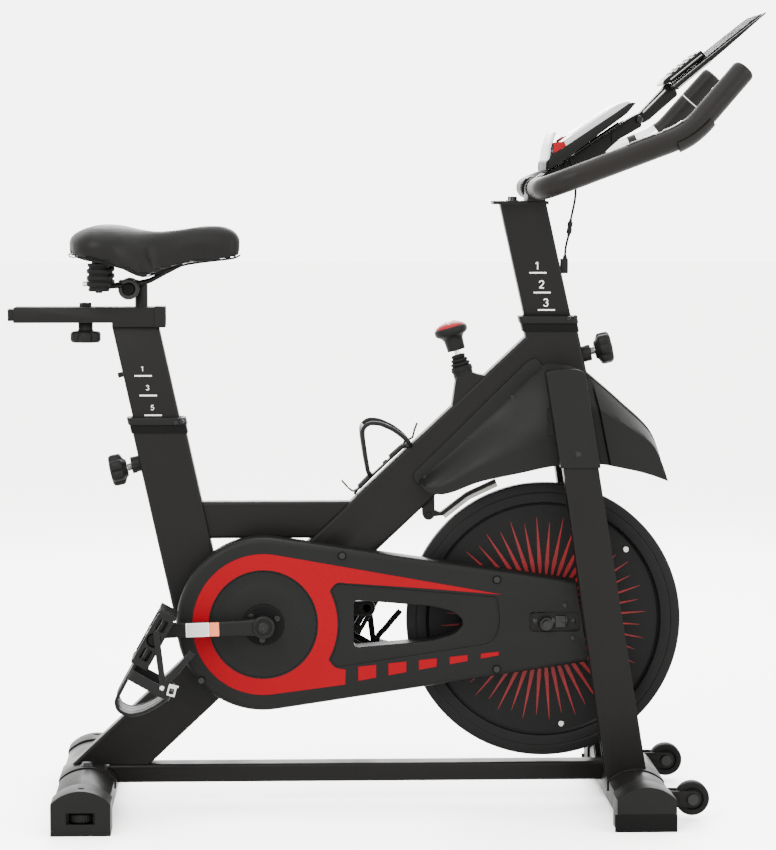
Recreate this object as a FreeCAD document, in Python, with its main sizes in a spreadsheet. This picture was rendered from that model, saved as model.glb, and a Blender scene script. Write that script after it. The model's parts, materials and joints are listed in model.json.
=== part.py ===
import FreeCAD, Part
import math
import os

import Sketcher

# Indoor spin bike, millimetres. +X points forward, +Z up, -Y is the rider's right-hand side.
# The origin is the middle of the footprint, on the surface that the feet stand on.

V = FreeCAD.Vector
X_AXIS = V(1, 0, 0)
Y_AXIS = V(0, 1, 0)
Z_AXIS = V(0, 0, 1)
SIDES = {"right": -1, "left": 1}

# Driving dimensions. Every one becomes a cell of the sheet, under its own alias.
DIMENSIONS = {
    # Main joints of the frame
    "crank_x": -181.2, "crank_z": 277.5,
    "flywheel_x": 238.8, "flywheel_z": 276.5,
    "post_tilt": 12.5, "main_tilt": 46.7,
    "seat_top_x": -337.5, "head_top_x": 245.5,
    "seat_top_z": 572.0, "head_top_z": 722.0,
    # Rectangular tubes of the frame
    "tube_depth": 80.0, "tube_width": 40.0, "tube_wall": 2.5, "tube_corner": 5.0,
    "post_depth": 68.0, "post_width": 30.0, "post_wall": 2.0, "post_corner": 4.0,
    "post_tube_depth": 78.0, "sleeve_depth": 73.0, "sleeve_width": 35.0,
    "sleeve_bore_depth": 68.6, "sleeve_bore_width": 30.6, "sleeve_bore_corner": 4.3,
    "collar_depth": 86.0, "collar_width": 47.0, "collar_height": 7.0, "sleeve_length": 90.0,
    "main_tube_length": 1060.0, "seat_tube_length": 381.0, "head_tube_length": 207.0,
    "brace_depth": 55.0, "brace_width": 30.0, "brace_length": 280.0, "brace_z": 428.0,
    "base_depth": 28.0, "base_width": 40.0, "base_z": 48.0, "base_length": 748.0,
    "fork_thickness": 30.0, "fork_inner_y": 58.0, "fork_wall": 2.5,
    "crown_height": 40.0, "crown_length": 60.0, "crown_x": 240.0, "crown_z": 556.0, "crown_width": 116.0,
    "shell_radius": 22.0, "shell_bore": 19.0, "shell_length": 70.0,
    # Stabilisers and their feet
    "rear_foot_x": -443.0, "front_foot_x": 369.0,
    "stabiliser_length": 410.0, "stabiliser_wall": 2.5,
    "cap_length": 60.0, "foot_span": 500.0,
    "plate_thickness": 2.5, "rear_plate_width": 110.0, "front_plate_width": 200.0,
    "foot_bolt_radius": 4.0, "foot_bolt_head": 8.5, "foot_bolt_head_height": 5.0,
    "leveller_radius": 18.0, "leveller_height": 12.0, "leveller_z": 19.0, "leveller_y": 228.5,
    "leveller_stem": 4.95, "leveller_stem_length": 60.0, "leveller_bore": 5.0,
    "leveller_boss_z": 33.0,
    "cap_window_length": 41.0, "cap_window_height": 16.5, "cap_window_z": 17.0,
    # Transport wheels
    "roller_x": 444.5, "roller_y": 160.0, "roller_z": 33.0, "roller_radius": 25.0,
    "roller_width": 22.0, "roller_bore": 4.55, "roller_bolt": 4.5,
    "cheek_thickness": 3.0, "cheek_gap": 0.5, "cheek_radius": 12.0,
    # Flywheel and its axle
    "flywheel_radius": 205.7, "rim_inner": 178.0, "rim_width": 22.0, "web_width": 5.0,
    "hub_radius": 32.0, "hub_width": 40.0, "hub_bore": 16.0,
    "axle_radius": 6.0, "axle_length": 150.0, "axle_bearing_width": 10.0,
    "bearing_gap": 0.05, "nut_radius": 9.5, "nut_length": 8.0,
    "dropout_thickness": 5.0,

    # Belt drive
    "belt_y": -43.0, "belt_width": 12.0, "belt_thickness": 3.0, "belt_gap": 0.3,
    "drive_radius": 92.0, "driven_radius": 23.0, "pulley_width": 14.0,
    # Belt case
    "case_radius": 129.0, "case_wall": 2.5, "case_outer_y": -62.0, "case_split_y": -26.0,
    "case_inner_y": -21.5, "case_hub_hole": 10.0,
    "case_front_x": 283.2, "case_front_top": 339.9, "case_toe_x": 300.5, "case_front_bottom": 218.8,
    "case_cover_radius": 31.0, "case_cover_height": 4.0,
    "slot_x": 214.0, "slot_z": 265.0, "slot_length": 75.0, "slot_height": 29.0,
    "case_screw_radius": 4.5, "case_screw_height": 2.5,
    # Cranks and pedals
    "spindle_radius": 8.5, "spindle_length": 180.0, "bearing_width": 10.0,
    "crank_length": 158.0, "crank_boss_radius": 17.0, "crank_boss_width": 26.0, "crank_inner_y": 67.5,
    "crank_end_radius": 13.0, "crank_depth": 22.0, "crank_thickness": 13.0, "crank_cranked_y": 82.0,
    "pedal_pin_radius": 6.0, "pedal_pin_length": 96.0, "pedal_bore": 6.05,
    "pedal_length": 88.0, "pedal_body_width": 82.0, "pedal_height": 26.0, "pedal_inner_y": 106.0,
    "cage_width": 78.0, "strap_thickness": 2.4,
    # Seat post, rail and saddle
    "seat_post_length": 310.0, "seat_post_rise": 160.0, "stop_drop": 66.0,
    "rail_left": -549.0, "rail_length": 214.0, "rail_bottom": 723.0, "rail_height": 23.0,
    "rail_width": 44.0, "rail_mouth": 26.0,
    "rest_plate_left": -404.0, "rest_plate_length": 76.0, "rest_plate_bottom": 717.0,
    "bar_left": -558.0, "bar_length": 230.0, "bar_height": 17.4, "bar_width": 38.4,
    "bar_slot_left": -541.0, "bar_slot_length": 136.0, "bar_slot_width": 10.6,
    "seat_pin_x": -361.0, "seat_pin_radius": 9.5, "seat_pin_top": 780.0,
    "tee_x": -444.0, "tee_radius": 5.0, "tee_head": 9.0, "tee_head_height": 9.0,
    "knob_radius": 24.0, "knob_height": 17.0, "knob_neck": 11.0, "rail_knob_z": 693.0,
    "tilt_x": -378.8, "tilt_z": 773.2, "tilt_barrel": 13.0, "tilt_bolt": 4.0, "tilt_bore": 4.05,
    "barrel_width": 24.0, "tilt_disc_radius": 15.0, "tilt_disc_width": 14.0, "side_gap": 0.3,
    "rail_wire": 3.5, "elastomer_x": -421.0, "elastomer_y": 58.0, "elastomer_radius": 18.0,
    "elastomer_bottom": 771.0, "elastomer_height": 42.0,
    # Pop pins
    "pin_neck": 12.0, "pin_neck_length": 13.0, "pin_rod": 6.0,
    "pin_rod_length": 20.0, "pin_knob_radius": 24.0, "pin_knob_length": 26.0,
    "seat_pin_drop": 52.0, "head_pin_drop": 58.0,
    # Handlebar group
    "head_post_length": 304.0, "head_post_rise": 192.0,
    "top_plate_length": 82.0, "top_plate_width": 62.0, "top_plate_height": 5.0,
    "bar_x": 224.0, "bar_z": 922.0, "bar_half_width": 190.0,
    "bar_reach_x": 431.0, "bar_reach_y": 182.0, "bar_reach_z": 1000.0,
    "bar_end_x": 510.0, "bar_end_y": 165.0, "bar_end_z": 1090.0,
    "bar_radius": 12.7, "bar_wall": 2.0, "bar_bend": 48.0, "bar_front_bend": 110.0,
    "grip_radius": 17.0, "grip_start_y": 62.0, "grip_overhang": 4.0,
    "ring_radius": 16.0, "ring_width": 12.0, "ring_y": 40.0, "plate_drop": 19.0,
    "clamp_foot_length": 26.0, "clamp_foot_width": 84.0,
    "console_half_width": 72.0, "button_radius": 7.0,
    "tray_half_width": 78.0, "clip_half_width": 40.0, "bracket_half_width": 22.0,
    # Brake
    "brake_x": 95.9, "brake_z": 723.0, "brake_tilt": 16.0, "brake_rod_length": 212.5,
    "brake_rod": 4.0, "brake_knob_radius": 25.0,
    "brake_knob_height": 22.0, "brake_boss_radius": 15.0, "brake_guide": 4.1,
    "brake_pivot_x": 66.0, "brake_pivot_z": 436.0, "brake_arm_width": 18.0, "brake_eye": 9.0,
}

# Side-view outlines, as (x, z) corners. Each corner becomes two cells of the sheet.
OUTLINES = {
    "fork": [(248, 600), (298.6, 600), (388, 48), (327, 48)],
    "fork_bore": [(250.6, 604), (296.2, 604), (386.2, 30), (326.2, 30)],
    "dropout": [(206, 262), (206, 291), (312, 300), (330, 300), (330, 255), (312, 255)],
    "case_window": [(-47, 242), (-47, 313), (70, 303), (104, 294), (118, 278), (104, 262), (70, 252)],
    "case_tunnel": [(-50, 239), (-50, 316.5), (71, 306), (106, 296.5), (121.5, 278), (106, 259.5), (71, 249)],
    "guard": [(51, 486), (68, 472), (91, 470), (140, 488), (201, 501), (251, 511), (310, 514),
              (360, 506), (420, 488), (410, 528), (393, 565), (350, 600), (307, 634), (292, 652),
              (230, 656)],
    "guard_cavity": [(60, 486), (70, 475), (91, 473), (139, 491), (200, 504), (251, 514), (310, 517),
                     (360, 509), (416, 492), (407, 527), (391, 563), (348, 597), (305, 631), (290, 649),
                     (231, 653)],
    "leg_cover": [(235, 652), (292, 652), (316, 511), (257, 511)],
    "leg_cover_bore": [(238, 649), (289, 649), (313, 505), (260, 505)],
    "flange": [(41.4, 496.2), (51, 486), (230, 656), (220.4, 666.2)],
    "console": [(235, 946), (231, 962), (235, 984), (247, 1005), (251, 1003), (252, 986.3), (340, 1045),
                (368, 1048), (355, 1032), (257, 959)],
    "yoke": [(222, 934), (240, 946), (258, 955), (258, 946), (238, 926)],
    "bracket": [(224, 937), (240, 946), (262, 957), (354, 1019), (375, 1032), (381, 1026), (381, 1013),
                (348, 994), (321, 970), (262, 948), (238, 928)],
    "tray_arm": [(381.3, 1026.3), (375.3, 1032.3), (424, 1075), (436, 1062), (386, 1016)],
    "tray": [(419, 1072), (556, 1180), (558, 1177), (431, 1066)],
    "clip": [(412, 1081), (466, 1125), (474, 1116.2), (424, 1076.8)],
    "saddle_side": [(-467, 820), (-462, 840), (-446, 854), (-418, 861), (-385, 857), (-336, 852),
                    (-290, 857), (-258, 861), (-236, 853), (-222, 838), (-219, 827), (-250, 819),
                    (-300, 812), (-330, 800), (-352, 789), (-364, 789), (-385, 799), (-415, 809),
                    (-440, 813)],
    "saddle_base_side": [(-462, 822), (-440, 816.5), (-414, 813), (-383, 803), (-362, 793), (-353, 793),
                         (-331, 804), (-301, 816), (-251, 823), (-226, 829), (-252, 833), (-302, 826),
                         (-332, 815), (-356, 810), (-385, 815), (-414, 822), (-440, 826)],
    "arm": [(60, 430), (87.4, 433.3), (124.9, 462.4), (167.8, 482.6), (166.3, 487), (122.8, 467),
            (84, 438), (66, 445)],
    "pad": [(91.5, 429), (128, 457.3), (169.8, 476.9), (167.8, 482.6), (124.9, 462.4), (87.4, 433.3)],
    "cage": [(44, -6), (100, -2), (117, 14), (116, 34), (98, 50), (66, 61.5), (65, 58.5), (96, 47.5),
             (113, 33), (114, 15.5), (99, 1), (44, -3)],
    "strap_side": [(-17, -1), (-11, -7), (58, 44), (56, 53)],
    "strap_tail": [(62, 61), (61, 51), (38, 42), (9, 48.5), (-12, 53), (-11, 61), (9, 57.5), (37, 52)],
}

# Top-view outlines of the saddle, as (x, y) corners.
PLANS = {
    "saddle_plan": [(-467, 28), (-462, 60), (-446, 86), (-420, 97), (-392, 92), (-366, 74), (-345, 52),
                    (-320, 38), (-270, 31), (-240, 27), (-225, 17), (-219, 6)],
    "saddle_base_plan": [(-458, 26), (-452, 56), (-438, 78), (-418, 86), (-394, 82), (-370, 64),
                         (-348, 44), (-322, 31), (-272, 24), (-244, 20), (-232, 12), (-228, 5)],
}

doc = FreeCAD.newDocument("SpinBike")
sheet = doc.addObject("Spreadsheet::Sheet", "Dimensions")


def fill_sheet():
    """Write every driving dimension and outline corner as a named cell."""
    cells = dict(DIMENSIONS)
    for name, corners in list(OUTLINES.items()) + list(PLANS.items()):
        for number, (across, up) in enumerate(corners):
            cells[f"{name}_across_{number}"] = across
            cells[f"{name}_up_{number}"] = up
    for row, (alias, value) in enumerate(cells.items(), 1):
        sheet.set(f"A{row}", alias)
        sheet.set(f"B{row}", str(value))
        sheet.setAlias(f"B{row}", alias)
    doc.recompute()


fill_sheet()
NODES = []


def size(alias):
    """The value of one cell."""
    return float(getattr(sheet, alias))


def assign(item, prop, alias):
    """Bind a property to a cell, or set it when a plain number is given."""
    if isinstance(alias, str):
        setattr(item, prop, size(alias))
        item.setExpression(prop, f"Dimensions.{alias}")
    else:
        setattr(item, prop, alias)


def keep(item, label):
    """Name an object as a finished sub-part."""
    item.Label = label
    NODES.append(item)
    return item


def tilted(degrees_back):
    """Rotation that leans a vertical piece back, towards -X."""
    return FreeCAD.Rotation(Y_AXIS, -degrees_back)


def along(direction):
    """Rotation that turns +Z to a direction."""
    return FreeCAD.Rotation(Z_AXIS, direction)


def origin_plane(body, role):
    """One of the body's own origin planes."""
    for feature in body.Origin.OriginFeatures:
        if feature.Role == role:
            return feature
    raise ValueError(role)


def new_sketch(body, name, role):
    sketch = body.newObject("Sketcher::SketchObject", name)
    sketch.AttachmentSupport = [(origin_plane(body, role), "")]
    sketch.MapMode = "FlatFace"
    return sketch


def rectangle_sketch(body, name, width_alias, height_alias):
    """Rectangle centred on the sketch origin, with both sides bound to cells."""
    sketch = new_sketch(body, name, "XY_Plane")
    half_width = size(width_alias) / 2
    half_height = size(height_alias) / 2
    corners = [V(-half_width, -half_height), V(half_width, -half_height),
               V(half_width, half_height), V(-half_width, half_height)]
    for number in range(4):
        sketch.addGeometry(Part.LineSegment(corners[number], corners[(number + 1) % 4]), False)
    for number in range(4):
        sketch.addConstraint(Sketcher.Constraint("Coincident", number, 2, (number + 1) % 4, 1))
        kind = "Horizontal" if number % 2 == 0 else "Vertical"
        sketch.addConstraint(Sketcher.Constraint(kind, number))
    sketch.addConstraint(Sketcher.Constraint("Symmetric", 0, 1, 2, 1, -1, 1))
    across = sketch.addConstraint(Sketcher.Constraint("DistanceX", 0, 1, 0, 2, 2 * half_width))
    sketch.setExpression(f"Constraints[{across}]", f"Dimensions.{width_alias}")
    upright = sketch.addConstraint(Sketcher.Constraint("DistanceY", 1, 1, 1, 2, 2 * half_height))
    sketch.setExpression(f"Constraints[{upright}]", f"Dimensions.{height_alias}")
    return sketch


def pad(body, sketch, name, length):
    feature = body.newObject("PartDesign::Pad", name)
    feature.Profile = sketch
    assign(feature, "Length", length)
    sketch.Visibility = False
    return feature


def bar_body(name, width, depth, length, corner, place):
    """Solid rectangular bar along its own +Z, with rounded long edges."""
    body = doc.addObject("PartDesign::Body", name)
    section = rectangle_sketch(body, name + "_section", width, depth)
    solid = pad(body, section, name + "_pad", length)
    doc.recompute()
    if corner:
        rounding = body.newObject("PartDesign::Fillet", name + "_corners")
        edges = [f"Edge{number}" for number, edge in enumerate(solid.Shape.Edges, 1)
                 if abs(edge.tangentAt(edge.FirstParameter).z) > 0.99]
        rounding.Base = (solid, edges)
        assign(rounding, "Radius", corner)
    body.Placement = place
    return body


def tube_body(name, width, depth, length, wall, corner, place):
    """Rectangular tube along its own +Z, open at both ends."""
    body = bar_body(name, width, depth, length, corner, place)
    bore = new_sketch(body, name + "_bore_section", "XY_Plane")
    half_width = size(width) / 2 - size(wall)
    half_depth = size(depth) / 2 - size(wall)
    corners = [V(-half_width, -half_depth), V(half_width, -half_depth),
               V(half_width, half_depth), V(-half_width, half_depth)]
    for number in range(4):
        bore.addGeometry(Part.LineSegment(corners[number], corners[(number + 1) % 4]), False)
    for number in range(4):
        bore.addConstraint(Sketcher.Constraint("Coincident", number, 2, (number + 1) % 4, 1))
        kind = "Horizontal" if number % 2 == 0 else "Vertical"
        bore.addConstraint(Sketcher.Constraint(kind, number))
    bore.addConstraint(Sketcher.Constraint("Symmetric", 0, 1, 2, 1, -1, 1))
    across = bore.addConstraint(Sketcher.Constraint("DistanceX", 0, 1, 0, 2, 2 * half_width))
    bore.setExpression(f"Constraints[{across}]", f"Dimensions.{width} - 2 * Dimensions.{wall}")
    upright = bore.addConstraint(Sketcher.Constraint("DistanceY", 1, 1, 1, 2, 2 * half_depth))
    bore.setExpression(f"Constraints[{upright}]", f"Dimensions.{depth} - 2 * Dimensions.{wall}")
    hollow = body.newObject("PartDesign::Pocket", name + "_bore")
    hollow.Profile = bore
    hollow.Type = "ThroughAll"
    hollow.Reversed = True
    return body


def cylinder(name, start, axis, radius, length):
    """Part::Cylinder that starts at a point and runs along an axis."""
    item = doc.addObject("Part::Cylinder", name)
    assign(item, "Radius", radius)
    assign(item, "Height", length)
    item.Placement = FreeCAD.Placement(start, along(axis))
    return item


def block(name, corner, length, width, height, rotation=None):
    """Part::Box from its lowest corner; a rotation turns it about that corner."""
    item = doc.addObject("Part::Box", name)
    assign(item, "Length", length)
    assign(item, "Width", width)
    assign(item, "Height", height)
    item.Placement = FreeCAD.Placement(corner, rotation or FreeCAD.Rotation())
    return item


def group(kind, name, items):
    item = doc.addObject(kind, name)
    if kind == "Part::Compound":
        item.Links = items
    else:
        item.Shapes = items
    return item


def fuse(name, items):
    item = group("Part::MultiFuse", name, items)
    item.Refine = True
    return item


def cut(name, base, *tools):
    """Base minus every tool, one after another."""
    item = base
    for tool in tools:
        result = doc.addObject("Part::Cut", name + "_cut")
        result.Base = item
        result.Tool = tool
        item = result
    return item


def profile_sketch(body, name, outline, role):
    """Closed outline whose every corner is bound to its two cells."""
    corners = OUTLINES[outline] if outline in OUTLINES else PLANS[outline]
    sketch = new_sketch(body, name, role)
    count = len(corners)
    for number in range(count):
        here = V(*corners[number])
        there = V(*corners[(number + 1) % count])
        sketch.addGeometry(Part.LineSegment(here, there), False)
    for number in range(count):
        sketch.addConstraint(Sketcher.Constraint("Coincident", number, 2, (number + 1) % count, 1))
        for kind, part, value in (("DistanceX", "across", corners[number][0]),
                                  ("DistanceY", "up", corners[number][1])):
            index = sketch.addConstraint(Sketcher.Constraint(kind, -1, 1, number, 1, value))
            sketch.setExpression(f"Constraints[{index}]", f"Dimensions.{outline}_{part}_{number}")
    return sketch


def slab(name, outline, low_y, thickness):
    """Side-view outline with a thickness along Y, from low_y upwards."""
    body = doc.addObject("PartDesign::Body", name)
    sketch = profile_sketch(body, name + "_outline", outline, "XZ_Plane")
    pad(body, sketch, name + "_pad", thickness)
    depth = size(thickness) if isinstance(thickness, str) else thickness
    body.Placement = FreeCAD.Placement(V(0, low_y + depth, 0), FreeCAD.Rotation())
    return body


def mirrored(name, source):
    """The same piece on the other side of the bike."""
    item = doc.addObject("Part::Mirroring", name)
    item.Source = source
    item.Normal = Y_AXIS
    item.Base = V(0, 0, 0)
    return item


def rounded_path(points, radii):
    """Straight runs joined by tangent arcs, as one wire."""
    edges = []
    start = points[0]
    for number in range(1, len(points) - 1):
        corner = points[number]
        back = (points[number - 1] - corner).normalize()
        ahead = (points[number + 1] - corner).normalize()
        half_angle = back.getAngle(ahead) / 2
        radius = radii[number - 1]
        leave = radius / math.tan(half_angle)
        first = corner + back * leave
        last = corner + ahead * leave
        towards = (back + ahead).normalize()
        middle = corner + towards * (radius / math.sin(half_angle) - radius)
        if (first - start).Length > 1e-4:
            edges.append(Part.LineSegment(start, first).toShape())
        edges.append(Part.Arc(first, middle, last).toShape())
        start = last
    edges.append(Part.LineSegment(start, points[-1]).toShape())
    return Part.Wire(edges)


def swept_tube(wire, radius):
    """Round bar along a wire."""
    start = wire.Edges[0].Vertexes[0].Point
    heading = wire.Edges[0].tangentAt(wire.Edges[0].FirstParameter)
    circle = Part.Wire(Part.makeCircle(radius, start, heading))
    return wire.makePipeShell([circle], True, True)


def feature(name, shape):
    item = doc.addObject("Part::Feature", name)
    item.Shape = shape
    return item


# ---------------------------------------------------------------------------------------------
# Reference points and directions of the frame
# ---------------------------------------------------------------------------------------------
CRANK = V(size("crank_x"), 0, size("crank_z"))
WHEEL = V(size("flywheel_x"), 0, size("flywheel_z"))
POST_ROTATION = tilted(size("post_tilt"))
POST_UP = POST_ROTATION.multVec(Z_AXIS)
POST_FORWARD = POST_ROTATION.multVec(X_AXIS)
MAIN_ROTATION = tilted(-size("main_tilt"))
MAIN_UP = MAIN_ROTATION.multVec(Z_AXIS)
SEAT_TOP = V(size("seat_top_x"), 0, size("seat_top_z"))
HEAD_TOP = V(size("head_top_x"), 0, size("head_top_z"))


# ---------------------------------------------------------------------------------------------
# Stabilisers: flat-bottomed tubes with an arched top, along Y
# ---------------------------------------------------------------------------------------------
ARCH_SIDE = 46.0
ARCH_TOP = 62.0
TUBE_BOTTOM = 16.0
TUBE_HALF = 40.0


def arch_body(name, centre_x, grow, bottom, low_y, length):
    """Arched section, larger than the stabiliser's own by `grow` all round."""
    body = doc.addObject("PartDesign::Body", name)
    sketch = new_sketch(body, name + "_section", "XZ_Plane")
    half = TUBE_HALF + grow
    side_top = ARCH_SIDE
    apex = ARCH_TOP + grow
    rise = apex - side_top
    radius = (half * half + rise * rise) / (2 * rise)
    centre = V(0, apex - radius)
    reach = math.asin(half / radius)
    sketch.addGeometry(Part.LineSegment(V(-half, side_top), V(-half, bottom)), False)
    sketch.addGeometry(Part.LineSegment(V(-half, bottom), V(half, bottom)), False)
    sketch.addGeometry(Part.LineSegment(V(half, bottom), V(half, side_top)), False)
    circle = Part.Circle(centre, Z_AXIS, radius)
    sketch.addGeometry(Part.ArcOfCircle(circle, math.pi / 2 - reach, math.pi / 2 + reach), False)
    for first, last in ((0, 1), (1, 2), (2, 3)):
        sketch.addConstraint(Sketcher.Constraint("Coincident", first, 2, last, 1))
    sketch.addConstraint(Sketcher.Constraint("Coincident", 3, 2, 0, 1))
    pad(body, sketch, name + "_pad", length)
    depth = size(length) if isinstance(length, str) else length
    body.Placement = FreeCAD.Placement(V(centre_x, low_y + depth, 0), FreeCAD.Rotation())
    return body


def stabiliser(name, centre_x, bolts):
    half_length = size("stabiliser_length") / 2
    outer = arch_body(name + "_outer", centre_x, 0, TUBE_BOTTOM, -half_length, "stabiliser_length")
    wall = size("stabiliser_wall")
    inner = arch_body(
        name + "_bore", centre_x, -wall, TUBE_BOTTOM + wall, -half_length, "stabiliser_length"
    )
    keep(cut(name, outer, inner, bolts), name)
    return outer


def saddle_plate(name, centre_x, width):
    """Curved plate that the frame is welded to, over the arched top of a stabiliser."""
    low_y = -size(width) / 2
    outer = arch_body(name + "_outer", centre_x, size("plate_thickness"), 32.0, low_y, width)
    inner = arch_body(name + "_under", centre_x, 0, 26.0, low_y, width)
    return outer, cut(name, outer, inner)


def foot_bolts(name, centre_x, y_places):
    """Domed bolts through a saddle plate and the top wall of a stabiliser."""
    bolts = []
    top = ARCH_TOP + size("plate_thickness")
    for y in y_places:
        shank = cylinder(name + "_shank", V(centre_x, y, 46), Z_AXIS, "foot_bolt_radius", top - 46)
        head = cylinder(name + "_head", V(centre_x, y, top - 0.6), Z_AXIS, "foot_bolt_head",
                        "foot_bolt_head_height")
        bolts.append(fuse(name, [shank, head]))
    return bolts


rear_bolts = foot_bolts("rear_foot_bolt", size("rear_foot_x"), (-38, 38))
front_bolts = foot_bolts("front_foot_bolt", size("front_foot_x"), (-34, 34))
foot_bolt_group = group("Part::Compound", "foot_bolt_group", rear_bolts + front_bolts)

rear_outer = stabiliser("rear_stabiliser", size("rear_foot_x"), foot_bolt_group)
front_outer = stabiliser("front_stabiliser", size("front_foot_x"), foot_bolt_group)
rear_plate_outer, rear_plate = saddle_plate("rear_saddle_plate", size("rear_foot_x"), "rear_plate_width")
front_plate_outer, front_plate = saddle_plate(
    "front_saddle_plate", size("front_foot_x"), "front_plate_width"
)


def foot_caps(name, centre_x, levelled):
    """Plastic end caps of one stabiliser; the rear ones hold levelling wheels."""
    grow = 3.0
    length = size("cap_length")
    outer_y = size("foot_span") / 2
    tube_end = size("stabiliser_length") / 2
    caps = []
    for side in SIDES.values():
        low_y = outer_y - length if side > 0 else -outer_y
        tube_low = outer_y - length if side > 0 else -tube_end
        body = arch_body(name + "_body", centre_x, grow, 0, low_y, "cap_length")
        socket = arch_body(name + "_socket", centre_x, 0, TUBE_BOTTOM, tube_low,
                           length - (outer_y - tube_end))
        tools = [socket]
        if levelled:
            middle_y = side * size("leveller_y")
            radius = size("leveller_radius") + 1.5
            well = cylinder(name + "_well", V(centre_x, middle_y, -1), Z_AXIS, radius,
                            size("leveller_boss_z") + 1)
            thread = cylinder(name + "_thread", V(centre_x, middle_y, 0), Z_AXIS, "leveller_bore", 65)
            window = block(name + "_window",
                           V(centre_x - size("cap_window_length") / 2,
                             outer_y - 12 if side > 0 else -outer_y - 1, size("cap_window_z")),
                           "cap_window_length", 13, "cap_window_height")
            tools += [well, thread, window]
        caps.append(cut(name, body, *tools))
    return caps


cap_solids = foot_caps("rear_foot_cap", size("rear_foot_x"), True)
cap_solids += foot_caps("front_foot_cap", size("front_foot_x"), False)
keep(group("Part::Compound", "foot_caps", cap_solids), "foot_caps")

for side_name, side in SIDES.items():
    middle = V(size("rear_foot_x"), side * size("leveller_y"), size("leveller_z"))
    disc = cylinder("leveller_disc", middle, Z_AXIS, "leveller_radius", "leveller_height")
    stem = cylinder("leveller_stem_" + side_name, V(middle.x, middle.y, 2), Z_AXIS, "leveller_stem",
                    "leveller_stem_length")
    foot = cylinder("leveller_foot", V(middle.x, middle.y, 2), Z_AXIS, 13, 6)
    keep(fuse("leveller_" + side_name, [disc, stem, foot]), "leveller_" + side_name)


# ---------------------------------------------------------------------------------------------
# Transport wheels, their brackets and bolts
# ---------------------------------------------------------------------------------------------
roller_axles = []
cheeks = []
for side_name, side in SIDES.items():
    middle = V(size("roller_x"), side * size("roller_y"), size("roller_z"))
    half = size("roller_width") / 2
    face = half + size("cheek_gap")
    thick = size("cheek_thickness")
    shank = cylinder("roller_shank", middle - Y_AXIS * (face + thick + 2), Y_AXIS, "roller_bolt",
                     2 * (face + thick + 2))
    head = cylinder("roller_head", middle - Y_AXIS * (face + thick + 5), Y_AXIS, 8, 5)
    nut = cylinder("roller_nut", middle + Y_AXIS * (face + thick), Y_AXIS, 8, 6)
    axle = fuse("roller_axle_" + side_name, [shank, head, nut])
    roller_axles.append(axle)
    for direction in (-1, 1):
        low_y = middle.y + direction * face - (thick if direction < 0 else 0)
        arm = block("cheek_arm", V(size("front_foot_x") + TUBE_HALF, low_y, 21), 35.5,
                    "cheek_thickness", 24)
        eye = cylinder("cheek_eye", V(middle.x, low_y, middle.z), Y_AXIS, "cheek_radius",
                       "cheek_thickness")
        cheeks.append(cut("roller_cheek", fuse("cheek_blank", [arm, eye]), axle))
    blank = cylinder("roller_blank", middle - Y_AXIS * half, Y_AXIS, "roller_radius", "roller_width")
    bore = cylinder("roller_bore_tool", middle - Y_AXIS * half, Y_AXIS, "roller_bore", "roller_width")
    groove = [cylinder("roller_dish", middle + Y_AXIS * (offset - 2.5), Y_AXIS, 17, 5)
              for offset in (-half, half)]
    hubs = [cylinder("roller_hub", middle + Y_AXIS * (offset - 2.5), Y_AXIS, 8, 5)
            for offset in (2.5 - half, half - 2.5)]
    dished = fuse("roller_dished", [cut("roller_rim", blank, *groove), *hubs])
    keep(cut("transport_wheel_" + side_name, dished, bore), "transport_wheel_" + side_name)

bracket_plates = [cut("rear_plate_drilled", rear_plate, foot_bolt_group),
                  cut("front_plate_drilled", front_plate, foot_bolt_group)]
keep(group("Part::Compound", "stabiliser_brackets", bracket_plates + cheeks), "stabiliser_brackets")
keep(group("Part::Compound", "frame_bolts", rear_bolts + front_bolts + roller_axles), "frame_bolts")


# ---------------------------------------------------------------------------------------------
# Welded frame tubes
# ---------------------------------------------------------------------------------------------
main_place = FreeCAD.Placement(CRANK - MAIN_UP * 400, MAIN_ROTATION)
seat_place = FreeCAD.Placement(SEAT_TOP - POST_UP * size("seat_tube_length"), POST_ROTATION)
head_place = FreeCAD.Placement(HEAD_TOP - POST_UP * size("head_tube_length"), POST_ROTATION)
main_solid = bar_body(
    "main_solid", "tube_depth", "tube_width", "main_tube_length", "tube_corner", main_place
)
seat_solid = bar_body("seat_solid", "post_tube_depth", "tube_width", "seat_tube_length", "tube_corner",
                      seat_place)
head_solid = bar_body("head_solid", "post_tube_depth", "tube_width", "head_tube_length", "tube_corner",
                      head_place)


def on_post(top, forward, drop):
    """Point beside a post: distance forward of its axis and below its tube's top."""
    return top + POST_FORWARD * forward - POST_UP * drop


def pin_boss(name, top, direction, drop):
    """Threaded boss on the outside of a tube, and the bore through boss, wall and sleeve."""
    face = size("post_tube_depth") / 2
    outward = POST_FORWARD * direction
    boss = cylinder(name + "_boss", on_post(top, direction * face, drop), outward, "pin_neck",
                    "pin_neck_length")
    bore = cylinder(name + "_bore", on_post(top, direction * 30, drop), outward, 6.2, 40)
    return boss, bore


seat_boss, seat_bore = pin_boss("seat_pin", SEAT_TOP, -1, size("seat_pin_drop"))
head_boss, head_bore = pin_boss("head_pin", HEAD_TOP, 1, size("head_pin_drop"))

BRAKE_TOP = V(size("brake_x"), 0, size("brake_z"))
BRAKE_DOWN = tilted(size("brake_tilt")).multVec(V(0, 0, -1))
rod_way = cylinder("rod_way", BRAKE_TOP + BRAKE_DOWN * 60, BRAKE_DOWN, 5.5, 190)
shell_tool = cylinder("shell_tool", CRANK - Y_AXIS * size("shell_length") / 2, Y_AXIS, "shell_radius",
                      "shell_length")
floor_tool = block("below_base_tube", V(-520, -40, -60), 300, 80, 122)

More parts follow.
